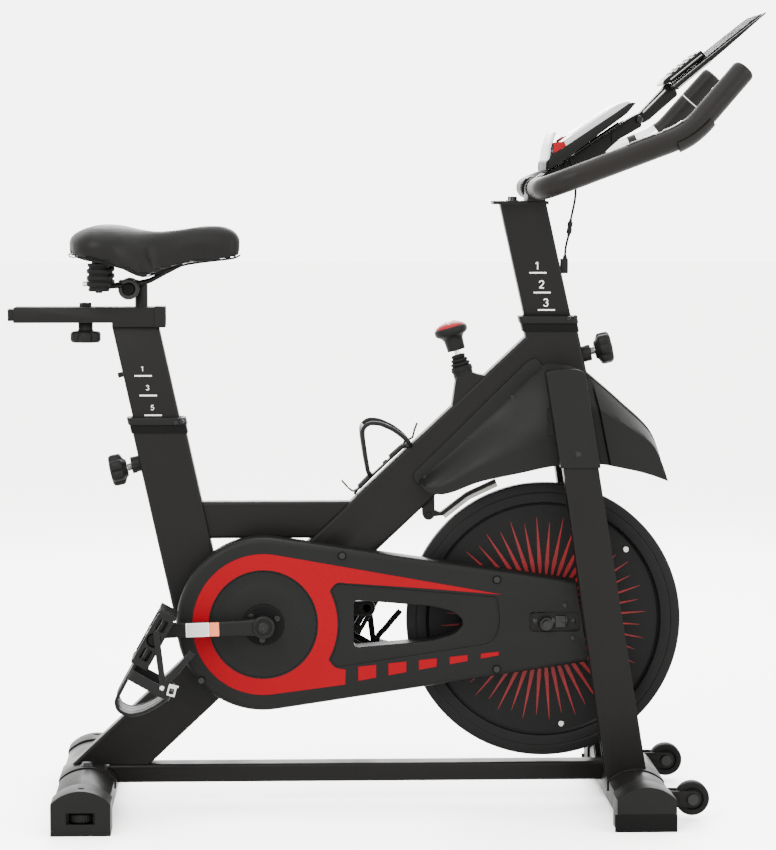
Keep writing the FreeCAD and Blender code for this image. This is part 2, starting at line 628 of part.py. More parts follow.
main_blank = tube_body("main_blank", "tube_depth", "tube_width", "main_tube_length", "tube_wall",
                       "tube_corner", main_place)
ahead_corner = on_post(HEAD_TOP, -30, 300) - Y_AXIS * 50
ahead_of_head = block("ahead_of_head", ahead_corner, 300, 100, 400, POST_ROTATION)
keep(cut("main_tube", main_blank, floor_tool, rear_plate_outer, head_solid, ahead_of_head, shell_tool,
         rod_way), "main_tube")
seat_blank = tube_body("seat_blank", "post_tube_depth", "tube_width", "seat_tube_length", "tube_wall",
                       "tube_corner", seat_place)
keep(cut("seat_tube", fuse("seat_with_boss", [seat_blank, seat_boss]), main_solid, seat_bore), "seat_tube")
head_blank = tube_body("head_blank", "post_tube_depth", "tube_width", "head_tube_length", "tube_wall",
                       "tube_corner", head_place)
keep(cut("head_tube", fuse("head_with_boss", [head_blank, head_boss]), head_bore), "head_tube")

brace = tube_body("brace", "brace_depth", "brace_width", "brace_length", "tube_wall", "tube_corner",
                  FreeCAD.Placement(V(-300, 0, size("brace_z")), tilted(-90)))
keep(cut("top_brace_tube", brace, seat_solid, main_solid), "top_brace_tube")
base = tube_body("base", "base_depth", "base_width", "base_length", "tube_wall", "tube_corner",
                 FreeCAD.Placement(V(-412, 0, size("base_z")), tilted(-90)))
keep(cut("base_tube", base, rear_plate_outer, front_plate_outer, rear_outer, front_outer), "base_tube")

fork_outers = []
fork_solids = []
inner_y = size("fork_inner_y")
leg_wall = size("fork_wall")
leg_thickness = size("fork_thickness")
for side in SIDES.values():
    low_y = inner_y if side > 0 else -inner_y - leg_thickness
    outer = slab("fork_leg_outer", "fork", low_y, "fork_thickness")
    bore = slab("fork_leg_bore", "fork_bore", low_y + leg_wall, leg_thickness - 2 * leg_wall)
    fork_outers.append(outer)
    fork_solids.append(cut("fork_leg", outer, bore, front_plate_outer, front_outer))
crown_blank = block("crown_blank", V(size("crown_x"), -inner_y, size("crown_z")), "crown_length",
                    "crown_width", "crown_height")
crown = cut("crown", crown_blank, head_solid)
keep(group("Part::Compound", "fork", fork_solids + [crown]), "fork")

shell_blank = cylinder("shell_blank", CRANK - Y_AXIS * size("shell_length") / 2, Y_AXIS, "shell_radius",
                       "shell_length")
shell_bore = cylinder("shell_bore", CRANK - Y_AXIS * size("shell_length") / 2, Y_AXIS, "shell_bore",
                      "shell_length")
shell_parts = [cut("bottom_bracket_shell", shell_blank, shell_bore)]
for side in SIDES.values():
    end_y = side * (size("shell_length") / 2 - (size("bearing_width") if side > 0 else 0))
    race = cylinder("crank_bearing_outer", CRANK + Y_AXIS * end_y, Y_AXIS, "shell_bore", "bearing_width")
    hole = cylinder("crank_bearing_hole", CRANK + Y_AXIS * end_y, Y_AXIS,
                    size("spindle_radius") + size("bearing_gap"), "bearing_width")
    shell_parts.append(cut("crank_bearing", race, hole))
keep(group("Part::Compound", "bottom_bracket", shell_parts), "bottom_bracket")


# ---------------------------------------------------------------------------------------------
# Plastic sleeves in the seat tube and the head tube
# ---------------------------------------------------------------------------------------------
def post_sleeve(name, top, bore):
    low = top - POST_UP * size("sleeve_length")
    lining = bar_body(name + "_lining", "sleeve_depth", "sleeve_width", "sleeve_length", "post_wall",
                      FreeCAD.Placement(low, POST_ROTATION))
    collar = bar_body(name + "_collar", "collar_depth", "collar_width", "collar_height", "post_corner",
                      FreeCAD.Placement(top, POST_ROTATION))
    opening = bar_body(name + "_opening", "sleeve_bore_depth", "sleeve_bore_width", 120,
                       "sleeve_bore_corner", FreeCAD.Placement(low - POST_UP * 5, POST_ROTATION))
    return cut(name, fuse(name + "_blank", [lining, collar]), opening, bore)


sleeves = [post_sleeve("seat_sleeve", SEAT_TOP, seat_bore), post_sleeve("head_sleeve", HEAD_TOP, head_bore)]
keep(group("Part::Compound", "post_sleeves", sleeves), "post_sleeves")


# ---------------------------------------------------------------------------------------------
# Pop pins: a rod with a knob, pulled outwards
# ---------------------------------------------------------------------------------------------
def pop_pin(name, top, direction, drop):
    outward = POST_FORWARD * direction
    tip = size("post_depth") / 2 + 0.6
    face = size("post_tube_depth") / 2
    knob_start = face + size("pin_rod_length")
    rod = cylinder(name + "_rod", on_post(top, direction * tip, drop), outward, "pin_rod",
                   knob_start - tip + 4)
    knob = cylinder(name + "_knob", on_post(top, direction * knob_start, drop), outward,
                    "pin_knob_radius", "pin_knob_length")
    keep(fuse(name, [rod, knob]), name)


pop_pin("seat_pin", SEAT_TOP, -1, size("seat_pin_drop"))
pop_pin("handlebar_pin", HEAD_TOP, 1, size("head_pin_drop"))


# ---------------------------------------------------------------------------------------------
# Flywheel, its axle and the plates that carry it
# ---------------------------------------------------------------------------------------------
def disc(name, centre, radius, width, middle_y=0.0):
    """Cylinder across the bike, centred on middle_y."""
    half = (size(width) if isinstance(width, str) else width) / 2
    return cylinder(name, V(centre.x, middle_y - half, centre.z), Y_AXIS, radius, width)


rim_hollow = [disc("rim_hollow", WHEEL, "rim_inner", 10, offset) for offset in (-8, 8)]
web = disc("flywheel_web", WHEEL, "rim_inner", "web_width")
rim = cut("flywheel_rim", disc("rim_blank", WHEEL, "flywheel_radius", "rim_width"), *rim_hollow)
hub = disc("flywheel_hub", WHEEL, "hub_radius", "hub_width")
hub_bore = disc("hub_bore", WHEEL, "hub_bore", 60)
keep(cut("flywheel", fuse("flywheel_blank", [rim, web, hub]), hub_bore), "flywheel")

belt_y = size("belt_y")
pulley_low = belt_y - size("pulley_width") / 2
driven = cylinder("driven_blank", V(WHEEL.x, pulley_low, WHEEL.z), Y_AXIS, "driven_radius", "pulley_width")
neck = cylinder("driven_neck", V(WHEEL.x, pulley_low, WHEEL.z), Y_AXIS, 18, -20 - pulley_low)
neck_bore = disc("driven_bore", WHEEL, 7, 130)
keep(cut("flywheel_pulley", fuse("driven_fused", [driven, neck]), neck_bore), "flywheel_pulley")

axle = disc("flywheel_axle_bar", WHEEL, "axle_radius", "axle_length")
axle_solids = [axle]
plate_y = inner_y - size("dropout_thickness")
for side in SIDES.values():
    bearing_y = side * 14
    race = disc("wheel_bearing_outer", WHEEL, size("hub_bore") - size("bearing_gap"),
                "axle_bearing_width", bearing_y)
    hole = disc("wheel_bearing_hole", WHEEL, "axle_radius", 20, bearing_y)
    axle_solids.append(cut("wheel_bearing", race, hole))
    nut_middle = side * (inner_y + 0.2 + size("nut_length") / 2)
    nut = disc("axle_nut_blank", WHEEL, "nut_radius", "nut_length", nut_middle)
    nut_hole = disc("axle_nut_hole", WHEEL, "axle_radius", 30, nut_middle)
    axle_solids.append(cut("axle_nut", nut, nut_hole))
keep(group("Part::Compound", "flywheel_axle", axle_solids), "flywheel_axle")

dropouts = []
for side in SIDES.values():
    low_y = plate_y if side > 0 else -inner_y
    plate = slab("dropout_blank", "dropout", low_y, "dropout_thickness")
    dropouts.append(cut("dropout", plate, axle))
keep(group("Part::Compound", "dropout_plates", dropouts), "dropout_plates")


# ---------------------------------------------------------------------------------------------
# Belt drive
# ---------------------------------------------------------------------------------------------
def belt_loop(name, grow):
    """Stadium round both pulleys, `grow` outside their rims."""
    big = size("drive_radius") + grow
    small = size("driven_radius") + grow
    span = WHEEL - CRANK
    distance = span.Length
    heading = math.atan2(span.z, span.x)
    wrap = math.acos((big - small) / distance)
    low_y = size("belt_y") - size("belt_width") / 2
    centre_a = V(CRANK.x, low_y, CRANK.z)
    centre_b = V(WHEEL.x, low_y, WHEEL.z)

    def rim_point(centre, radius, angle):
        return centre + V(math.cos(angle), 0, math.sin(angle)) * radius

    upper_a = rim_point(centre_a, big, heading + wrap)
    upper_b = rim_point(centre_b, small, heading + wrap)
    lower_a = rim_point(centre_a, big, heading - wrap)
    lower_b = rim_point(centre_b, small, heading - wrap)
    edges = [
        Part.LineSegment(upper_a, upper_b).toShape(),
        Part.Arc(upper_b, rim_point(centre_b, small, heading), lower_b).toShape(),
        Part.LineSegment(lower_b, lower_a).toShape(),
        Part.Arc(lower_a, rim_point(centre_a, big, heading + math.pi), upper_a).toShape(),
    ]
    face = Part.Face(Part.Wire(edges))
    return feature(name, face.extrude(V(0, size("belt_width"), 0)))


gap = size("belt_gap")
keep(cut("drive_belt", belt_loop("belt_outer", gap + size("belt_thickness")), belt_loop("belt_inner", gap)),
     "drive_belt")

spindle = disc("crank_spindle", CRANK, "spindle_radius", "spindle_length")
drive_blank = disc("drive_blank", CRANK, "drive_radius", "pulley_width", belt_y)
drive_dish = [disc("drive_dish", CRANK, 80, 5, belt_y + offset) for offset in (-5, 5)]
drive_hub = disc("drive_hub", CRANK, 24, "pulley_width", belt_y)
drive_rim = cut("drive_rim", drive_blank, *drive_dish)
keep(cut("drive_pulley", fuse("drive_fused", [drive_rim, drive_hub]), spindle), "drive_pulley")


# ---------------------------------------------------------------------------------------------
# Belt case: two shells with a window right through
# ---------------------------------------------------------------------------------------------
def case_prism(name, inset, low_y, high_y, front_extra=0.0):
    """Case outline: an arc round the crank and two straight edges to the fork."""
    body = doc.addObject("PartDesign::Body", name)
    sketch = new_sketch(body, name + "_outline", "XZ_Plane")
    radius = size("case_radius") - inset
    top = V(size("case_front_x") + front_extra, size("case_front_top") - inset)
    bottom = V(size("case_toe_x") + front_extra, size("case_front_bottom") + inset)
    centre = V(CRANK.x, CRANK.z)

    def touching(point, side):
        away = point - centre
        swing = math.acos(radius / away.Length)
        angle = math.atan2(away.y, away.x) + side * swing
        return angle, centre + V(math.cos(angle), math.sin(angle)) * radius

    upper_angle, upper = touching(top, 1)
    lower_angle, lower = touching(bottom, -1)
    arc = Part.ArcOfCircle(Part.Circle(centre, Z_AXIS, radius), upper_angle, lower_angle + 2 * math.pi)
    sketch.addGeometry(Part.LineSegment(top, upper), False)
    sketch.addGeometry(arc, False)
    sketch.addGeometry(Part.LineSegment(lower, bottom), False)
    sketch.addGeometry(Part.LineSegment(bottom, top), False)
    sketch.addConstraint(Sketcher.Constraint("Coincident", 0, 2, 1, 1))
    sketch.addConstraint(Sketcher.Constraint("Coincident", 1, 2, 2, 1))
    sketch.addConstraint(Sketcher.Constraint("Coincident", 2, 2, 3, 1))
    sketch.addConstraint(Sketcher.Constraint("Coincident", 3, 2, 0, 1))
    limit = sketch.addConstraint(Sketcher.Constraint("Radius", 1, radius))
    sketch.setExpression(f"Constraints[{limit}]", f"Dimensions.case_radius - {inset}")
    pad(body, sketch, name + "_pad", high_y - low_y)
    body.Placement = FreeCAD.Placement(V(0, high_y, 0), FreeCAD.Rotation())
    return body


wall = size("case_wall")
outer_y = size("case_outer_y")
split_y = size("case_split_y")
inner_face_y = size("case_inner_y")
window_depth = 60
window_tool = slab("window_tool", "case_window", -70, window_depth)
slot_tool = block("slot_tool", V(size("slot_x"), outer_y - 5, size("slot_z")), "slot_length", 10,
                  "slot_height")
hub_hole = disc("case_hub_hole", CRANK, "case_hub_hole", 20, outer_y)
hub_cover = disc("case_hub_cover", CRANK, "case_cover_radius", "case_cover_height",
                 outer_y - size("case_cover_height") / 2)
screw_places = [(-64.6, 379.7), (-273.4, 194.5), (165, 343), (165, 209)]
case_screws = []
for x, z in screw_places:
    head = cylinder("case_screw_head", V(x, outer_y - size("case_screw_height"), z), Y_AXIS,
                    "case_screw_radius", "case_screw_height")
    shank = cylinder("case_screw_shank", V(x, outer_y - 0.5, z), Y_AXIS, 2, 8)
    case_screws.append(fuse("case_screw", [head, shank]))

outer_prism = case_prism("case_outer_prism", 0, outer_y, split_y)
outer_hollow = case_prism("case_outer_hollow", wall, outer_y + wall, split_y, 30)
tunnel = slab("case_tunnel_wall", "case_tunnel", outer_y + 1, inner_face_y - wall - outer_y - 1)
outer_shell = cut("case_outer_shell", outer_prism, outer_hollow)
case_blank = fuse("case_outer_blank", [outer_shell, tunnel, hub_cover])
keep(cut("chain_case_outer", case_blank, window_tool, slot_tool, hub_hole, *case_screws),
     "chain_case_outer")

inner_prism = case_prism("case_inner_prism", 0, split_y, inner_face_y)
inner_hollow = case_prism("case_inner_hollow", wall, split_y, inner_face_y - wall, 30)
pulley_hole = disc("case_pulley_hole", WHEEL, 27, 30, split_y)
keep(cut("chain_case_inner", inner_prism, inner_hollow, window_tool, shell_tool, pulley_hole),
     "chain_case_inner")


# ---------------------------------------------------------------------------------------------
# Flywheel guard: two mirrored plastic shells between the frame tubes and the flywheel
# ---------------------------------------------------------------------------------------------
guard_y = -57.0
guard_wall = 3.0
cover_y = -91.0
flange_y = -23.0
panel = cut("guard_panel", slab("guard_outer", "guard", guard_y, -guard_y),
            slab("guard_hollow", "guard_cavity", guard_y + guard_wall, 60))
flange = slab("guard_flange", "flange", flange_y, -20 - flange_y)
leg_cover = cut("guard_leg_cover", slab("leg_cover_outer", "leg_cover", cover_y, guard_y - cover_y),
                slab("leg_cover_hollow", "leg_cover_bore", cover_y + guard_wall, 60))
guard_screws = []
guard_screw_spots = (
    (61.5, flange_y, 490), (127.0, flange_y, 549), (191.5, flange_y, 610), (282.0, cover_y, 532)
)
for x, y, z in guard_screw_spots:
    head = cylinder("guard_screw_head", V(x, y - 2.0, z), Y_AXIS, 4, 2)
    shank = cylinder("guard_screw_shank", V(x, y - 0.5, z), Y_AXIS, 2, 3.5)
    guard_screws.append(fuse("guard_screw", [head, shank]))
guard_right = cut("guard_right", fuse("guard_blank", [panel, flange, leg_cover]), main_solid, head_solid,
                  crown_blank, fork_outers[0], rod_way, head_boss, *guard_screws)
guard_left = mirrored("guard_left", guard_right)
keep(group("Part::Compound", "flywheel_guard", [guard_right, guard_left]), "flywheel_guard")
left_screws = [mirrored("guard_screw_left", screw) for screw in guard_screws]
keep(group("Part::Compound", "cover_screws", case_screws + guard_screws + left_screws), "cover_screws")


# ---------------------------------------------------------------------------------------------
# Brake: knob and rod through the main tube, arm and felt pad above the rim
# ---------------------------------------------------------------------------------------------
PIVOT = V(size("brake_pivot_x"), 0, size("brake_pivot_z"))


def on_brake(distance):
    return BRAKE_TOP + BRAKE_DOWN * distance


boss_blank = cylinder("brake_boss_blank", on_brake(76), BRAKE_DOWN, "brake_boss_radius", 60)
boss_bore = cylinder("brake_boss_bore", on_brake(70), BRAKE_DOWN, "brake_guide", 80)
brake_boss = cut("brake_boss", boss_blank, main_solid, boss_bore)

rod = cylinder("brake_rod_bar", on_brake(30), BRAKE_DOWN, "brake_rod", "brake_rod_length")
collar = cylinder("brake_rod_collar", on_brake(66), BRAKE_DOWN, 9, 3)
keep(fuse("brake_rod", [rod, collar]), "brake_rod")
cap = cylinder("brake_knob_cap", on_brake(0), BRAKE_DOWN, "brake_knob_radius", "brake_knob_height")
stem = cylinder("brake_knob_stem", on_brake(20), BRAKE_DOWN, 13.5, 24)
rod_hole = cylinder("brake_knob_bore", on_brake(30), BRAKE_DOWN, size("brake_rod") + 0.05, 30)
keep(cut("brake_knob", fuse("brake_knob_blank", [cap, stem]), rod_hole), "brake_knob")

arm_half = size("brake_arm_width") / 2
pivot_pin = disc("brake_pivot_pin", PIVOT, 3, 32)
pivot_clear = disc("brake_pivot_bore", PIVOT, 3.05, 40)
strip = slab("brake_strip", "arm", -arm_half, "brake_arm_width")
eye = disc("brake_eye", PIVOT, "brake_eye", "brake_arm_width")
keep(cut("brake_arm", fuse("brake_arm_blank", [strip, eye]), pivot_clear), "brake_arm")
keep(slab("brake_pad", "pad", -arm_half, "brake_arm_width"), "brake_pad")
ears = []
for side in SIDES.values():
    ear_y = side * (arm_half + 0.5) - (4 if side < 0 else 0)
    ear_eye = cylinder("brake_ear_eye", V(PIVOT.x, ear_y, PIVOT.z), Y_AXIS, "brake_eye", 4)
    ear_web = block("brake_ear_web", V(PIVOT.x - 9, ear_y, PIVOT.z), 18, 4, 30)
    ears.append(cut("brake_ear", fuse("brake_ear_blank", [ear_eye, ear_web]), main_solid, pivot_pin))
keep(group("Part::Compound", "brake_mounts", [brake_boss, pivot_pin] + ears), "brake_mounts")


# ---------------------------------------------------------------------------------------------
# Bottle cage on top of the main tube
# ---------------------------------------------------------------------------------------------
MAIN_NORMAL = MAIN_ROTATION.multVec(V(-1, 0, 0))


def on_main(distance, height, y):
    """Point above the main tube's upper face, measured up the tube from the crank."""
    return CRANK + MAIN_UP * distance + MAIN_NORMAL * (size("tube_depth") / 2 + height) + Y_AXIS * y


cage_shapes = []
for side in SIDES.values():
    route = [on_main(258, 5, 0), on_main(236, 5, side * 10), on_main(228, 24, side * 34),
             on_main(262, 58, side * 40), on_main(312, 74, side * 38), on_main(338, 34, side * 36),
             on_main(346, 8, side * 10), on_main(366, 12, side * 4)]
    cage_shapes.append(swept_tube(rounded_path(route, [9, 13, 26, 26, 16, 12]), 3.0))
strap = Part.makeBox(120, 20, 4)
strap.Placement = FreeCAD.Placement(on_main(232, 0, -10), tilted(90 - size("main_tilt")))
keep(feature("cage_wires", cage_shapes[0].fuse([cage_shapes[1], strap])), "bottle_cage")


# ---------------------------------------------------------------------------------------------
# Cranks and pedals. The right crank points back, the left one forward.
# ---------------------------------------------------------------------------------------------
CRANK_DROP = math.radians(1.7)
pedal_turn = FreeCAD.Rotation(Y_AXIS, 119.4)
arms = []
pins = []
for side_name, side in SIDES.items():
    direction = V(side * math.cos(CRANK_DROP), 0, side * math.sin(CRANK_DROP))
    end = CRANK + direction * size("crank_length")
    arm_low = side * size("crank_cranked_y") - (size("crank_thickness") if side < 0 else 0)
    boss_low = side * size("crank_inner_y") - (size("crank_boss_width") if side < 0 else 0)
    boss = cylinder("crank_boss", V(CRANK.x, boss_low, CRANK.z), Y_AXIS, "crank_boss_radius",
                    "crank_boss_width")
    tip = cylinder("crank_tip", V(end.x, arm_low, end.z), Y_AXIS, "crank_end_radius", "crank_thickness")
    turn = FreeCAD.Rotation(Y_AXIS, -math.degrees(math.atan2(direction.z, direction.x)))
    low_corner = turn.multVec(V(0, 0, -size("crank_depth") / 2))
    shank = block("crank_shank", V(CRANK.x, arm_low, CRANK.z) + low_corner, "crank_length",
                  "crank_thickness", "crank_depth", turn)
    pin_low = side * size("crank_cranked_y") - (size("pedal_pin_length") if side < 0 else 0)
    pin = cylinder("pedal_pin", V(end.x, pin_low, end.z), Y_AXIS, "pedal_pin_radius", "pedal_pin_length")
    pins.append(pin)
    arms.append(cut("crank_" + side_name, fuse("crank_blank", [boss, tip, shank]), spindle, pin))

    pedal_low = side * size("pedal_inner_y") - (size("pedal_body_width") if side < 0 else 0)
    place = FreeCAD.Placement(V(end.x, pedal_low, end.z), pedal_turn)

    def pedal_block(name, x, y, z, length, width, height):
        item = block(name, V(0, 0, 0), length, width, height)
        item.Placement = place.multiply(FreeCAD.Placement(V(x, y, z), FreeCAD.Rotation()))
        return item

    body = pedal_block("pedal_body", -44, 0, -13, "pedal_length", "pedal_body_width", "pedal_height")
    hollows = [pedal_block("pedal_hollow", x, 9, -14, 22, 64, 28) for x in (-36, 14)]
    pin_hole = cylinder("pedal_hole", V(end.x, pin_low, end.z), Y_AXIS, "pedal_bore",
                        size("pedal_pin_length") + 0.2)
    if side < 0:
        pin_hole.Placement.Base.y -= 0.2
    keep(cut("pedal_" + side_name, body, *hollows, pin_hole), "pedal_" + side_name)


    def pedal_slab(name, outline, low_y, thickness):
        item = slab(name + "_" + side_name, outline, low_y, thickness)
        item.Placement = place.multiply(item.Placement)
        return item

    nose = pedal_slab("cage_nose", "cage", 2.0, "cage_width")
    strap_low = -3.0 if side < 0 else 82.6
    side_strap = pedal_slab("strap_side", "strap_side", strap_low, "strap_thickness")
    strap_tail = pedal_slab("strap_tail", "strap_tail", strap_low, "strap_thickness")
    hoop_outer = pedal_block("strap_outer", 52, -3, -8, 16, 88, 70)
    hoop_inner = pedal_block("strap_inner", 50, -0.6, -4.6, 20, 83.2, 63.6)
    hoop = cut("strap_hoop", hoop_outer, hoop_inner)
    keep(fuse("toe_clip_" + side_name, [nose, hoop, side_strap, strap_tail]), "toe_clip_" + side_name)
keep(group("Part::Compound", "crank_arms", arms), "crank_arms")
keep(group("Part::Compound", "crank_spindle_and_pins", [spindle] + pins), "crank_spindle_and_pins")


# ---------------------------------------------------------------------------------------------
# Seat post, rail, slider and saddle
# ---------------------------------------------------------------------------------------------
seat_post_top = SEAT_TOP + POST_UP * size("seat_post_rise")
seat_post_place = FreeCAD.Placement(seat_post_top - POST_UP * size("seat_post_length"), POST_ROTATION)
seat_post_blank = tube_body("seat_post_blank", "post_depth", "post_width", "seat_post_length", "post_wall",
                            "post_corner", seat_post_place)
above_rest = block("above_rest_plate", V(-460, -40, size("rest_plate_bottom")), 180, 80, 60)
stop_place = on_post(SEAT_TOP, -33, -size("stop_drop") - 17)
stop_screw = cylinder("stop_screw", stop_place, POST_FORWARD * -1, 4, 9)
keep(fuse("seat_post", [cut("seat_post_tube", seat_post_blank, above_rest), stop_screw]), "seat_post")

rail_half = size("rail_width") / 2
rail_blank = block("rail_blank", V(size("rail_left"), -rail_half, size("rail_bottom")), "rail_length",
                   "rail_width", "rail_height")
rail_room = block("rail_room", V(size("rail_left") - 5, -rail_half + 2.5, size("rail_bottom") + 2.5), 230,
                  39, 18)
rail_mouth = block("rail_mouth", V(size("rail_left") - 5, -13, size("rail_bottom") + 15), 230,
                   "rail_mouth", 20)
rest_plate = block("rest_plate", V(size("rest_plate_left"), -rail_half, size("rest_plate_bottom")),
                   "rest_plate_length", "rail_width", 6)
tee_way = cylinder("tee_way", V(size("tee_x"), 0, 700), Z_AXIS, size("tee_radius") + 0.05, 60)
rail_cut = cut("rail_channel", rail_blank, rail_room, rail_mouth, tee_way)
keep(fuse("seat_rail", [rail_cut, rest_plate]), "seat_rail")

bar_low = size("rail_bottom") + 2.8
bar_blank = block("slider_blank", V(size("bar_left"), -size("bar_width") / 2, bar_low), "bar_length",
                  "bar_width", "bar_height")
bar_slot = block("slider_slot", V(size("bar_slot_left"), -size("bar_slot_width") / 2, bar_low - 5),
                 "bar_slot_length", "bar_slot_width", 40)
seat_stem = cylinder("seat_stem", V(size("seat_pin_x"), 0, bar_low + 5), Z_AXIS, "seat_pin_radius",
                     size("seat_pin_top") - bar_low - 5)
TILT = V(size("tilt_x"), 0, size("tilt_z"))
barrel = disc("tilt_barrel", TILT, "tilt_barrel", "barrel_width")
tilt_bore = disc("tilt_bore_tool", TILT, "tilt_bore", 60)
slider_blank = fuse("slider_fused", [cut("slider_bar", bar_blank, bar_slot), seat_stem, barrel])
keep(cut("seat_slider", slider_blank, tilt_bore), "seat_slider")

knob_z = size("rail_knob_z")
knob_top = knob_z + size("knob_height")
tee_head_z = bar_low + size("bar_height") + 0.1
knob_disc = cylinder("rail_knob_disc", V(size("tee_x"), 0, knob_z), Z_AXIS, "knob_radius", "knob_height")
knob_neck = cylinder("rail_knob_neck", V(size("tee_x"), 0, knob_top - 1), Z_AXIS, "knob_neck",
                     size("rail_bottom") - knob_top + 0.9)
tee = cylinder("tee_shank", V(size("tee_x"), 0, knob_top), Z_AXIS, "tee_radius", tee_head_z - knob_top + 1)
tee_head = cylinder("tee_head", V(size("tee_x"), 0, tee_head_z), Z_AXIS, "tee_head", "tee_head_height")
keep(fuse("rail_knob", [knob_disc, knob_neck, tee, tee_head]), "rail_knob")

disc_inner = size("barrel_width") / 2 + size("side_gap")
disc_width = size("tilt_disc_width")
wire_y = disc_inner + disc_width / 2
wire_shapes = []
for side in SIDES.values():
    route = [V(-432, side * 58, 776), V(-413, side * 46, 777), V(-395, side * 27, 778),
             V(-372, side * wire_y, 780), V(-349, side * 19, 784.5), V(-326, side * 17.5, 797),
             V(-300, side * 16, 810.5)]
    wire_shapes.append(swept_tube(rounded_path(route, [24, 26, 30, 40, 40]), size("rail_wire")))
rails = feature("saddle_rail_wires", Part.makeCompound(wire_shapes))
keep(rails, "saddle_rails")

clamp_parts = [disc("tilt_bolt", TILT, "tilt_bolt", 2 * (disc_inner + disc_width) + 10)]
for side in SIDES.values():
    middle = side * (disc_inner + disc_width / 2)
    clamp_parts.append(disc("tilt_disc", TILT, "tilt_disc_radius", "tilt_disc_width", middle))
    clamp_parts.append(block("tilt_jaw", V(-394, middle - disc_width / 2, TILT.z), 28, disc_width, 12.5))
    clamp_parts.append(disc("tilt_nut", TILT, 7.5, 5, side * (disc_inner + disc_width + 2.5)))
keep(cut("saddle_clamp", fuse("saddle_clamp_blank", clamp_parts), rails), "saddle_clamp")

elastomers = []
for side in SIDES.values():
    blank = cylinder("elastomer_blank", V(size("elastomer_x"), side * size("elastomer_y"),
                                          size("elastomer_bottom")), Z_AXIS, "elastomer_radius",
                     "elastomer_height")
    elastomers.append(cut("elastomer", blank, rails))
keep(group("Part::Compound", "saddle_springs", elastomers), "saddle_springs")


def saddle_solid(name, side_view, plan):
    """Side view extruded across, met with the top view extruded upwards."""
    across = slab(name + "_side", side_view, -110, 220)
    upright = doc.addObject("PartDesign::Body", name + "_upright")
    corners = PLANS[plan]
    sketch = new_sketch(upright, name + "_plan", "XY_Plane")
    ring = [V(x, y) for x, y in corners] + [V(x, -y) for x, y in reversed(corners)]
    for number in range(len(ring)):
        sketch.addGeometry(Part.LineSegment(ring[number], ring[(number + 1) % len(ring)]), False)
    for number in range(len(ring)):
        sketch.addConstraint(Sketcher.Constraint("Coincident", number, 2, (number + 1) % len(ring), 1))
    for number in range(len(corners)):
        for kind, part, value in (("DistanceX", "across", corners[number][0]),
                                  ("DistanceY", "up", corners[number][1])):
            index = sketch.addConstraint(Sketcher.Constraint(kind, -1, 1, number, 1, value))
            sketch.setExpression(f"Constraints[{index}]", f"Dimensions.{plan}_{part}_{number}")
        mirror = len(ring) - 1 - number
        sketch.addConstraint(Sketcher.Constraint("Symmetric", number, 1, mirror, 1, -1))
    pad(upright, sketch, name + "_pad", 130)
    upright.Placement = FreeCAD.Placement(V(0, 0, 760), FreeCAD.Rotation())
    both = doc.addObject("Part::Common", name)
    both.Base = across
    both.Tool = upright
    return both


base_blank = saddle_solid("saddle_base_blank", "saddle_base_side", "saddle_base_plan")
cushion_blank = saddle_solid("saddle_cushion_blank", "saddle_side", "saddle_plan")
keep(cut("saddle_base", base_blank, rails, *elastomers), "saddle_base")
keep(cut("saddle_cushion", cushion_blank, base_blank, rails, *elastomers), "saddle_cushion")


# ---------------------------------------------------------------------------------------------
# Handlebar post, bar, grips and clamp
# ---------------------------------------------------------------------------------------------
head_post_top = HEAD_TOP + POST_UP * size("head_post_rise")
head_post_place = FreeCAD.Placement(head_post_top - POST_UP * size("head_post_length"), POST_ROTATION)
head_post_blank = tube_body("head_post_blank", "post_depth", "post_width", "head_post_length", "post_wall",
                            "post_corner", head_post_place)
plate_top = size("bar_z") - size("plate_drop")
plate_low = plate_top - size("top_plate_height")
above_plate = block("above_top_plate", V(120, -40, plate_low), 180, 80, 60)
top_plate = block("top_plate", V(161, -size("top_plate_width") / 2, plate_low), "top_plate_length",
                  "top_plate_width", "top_plate_height")
post_tube = cut("head_post_tube", head_post_blank, above_plate)
keep(fuse("handlebar_post", [post_tube, top_plate]), "handlebar_post")

bar_route = [V(size("bar_end_x"), -size("bar_end_y"), size("bar_end_z")),
             V(size("bar_reach_x"), -size("bar_reach_y"), size("bar_reach_z")),
             V(size("bar_x"), -size("bar_half_width"), size("bar_z"))]
bar_end_direction = (bar_route[0] - bar_route[1]).normalize()
grip_route = [bar_route[0] + bar_end_direction * size("grip_overhang"), bar_route[1], bar_route[2],
              V(size("bar_x"), -size("grip_start_y"), size("bar_z"))]
bar_route += [V(point.x, -point.y, point.z) for point in reversed(bar_route)]
bar_radii = [size("bar_front_bend"), size("bar_bend"), size("bar_bend"), size("bar_front_bend")]
bar_wire = rounded_path(bar_route, bar_radii)
bar_solid = swept_tube(bar_wire, size("bar_radius"))
bar_bore_shape = swept_tube(bar_wire, size("bar_radius") - size("bar_wall"))
keep(feature("handlebar_tube", bar_solid.cut(bar_bore_shape)), "handlebar")

grip_shapes = []
for side in SIDES.values():
    route = [V(point.x, -side * point.y, point.z) for point in grip_route]
    grip_path = rounded_path(route, [size("bar_front_bend"), size("bar_bend")])
    sleeve = swept_tube(grip_path, size("grip_radius"))
    grip_shapes.append(sleeve.cut(bar_solid))
keep(feature("grip_sleeves", Part.makeCompound(grip_shapes)), "grips")

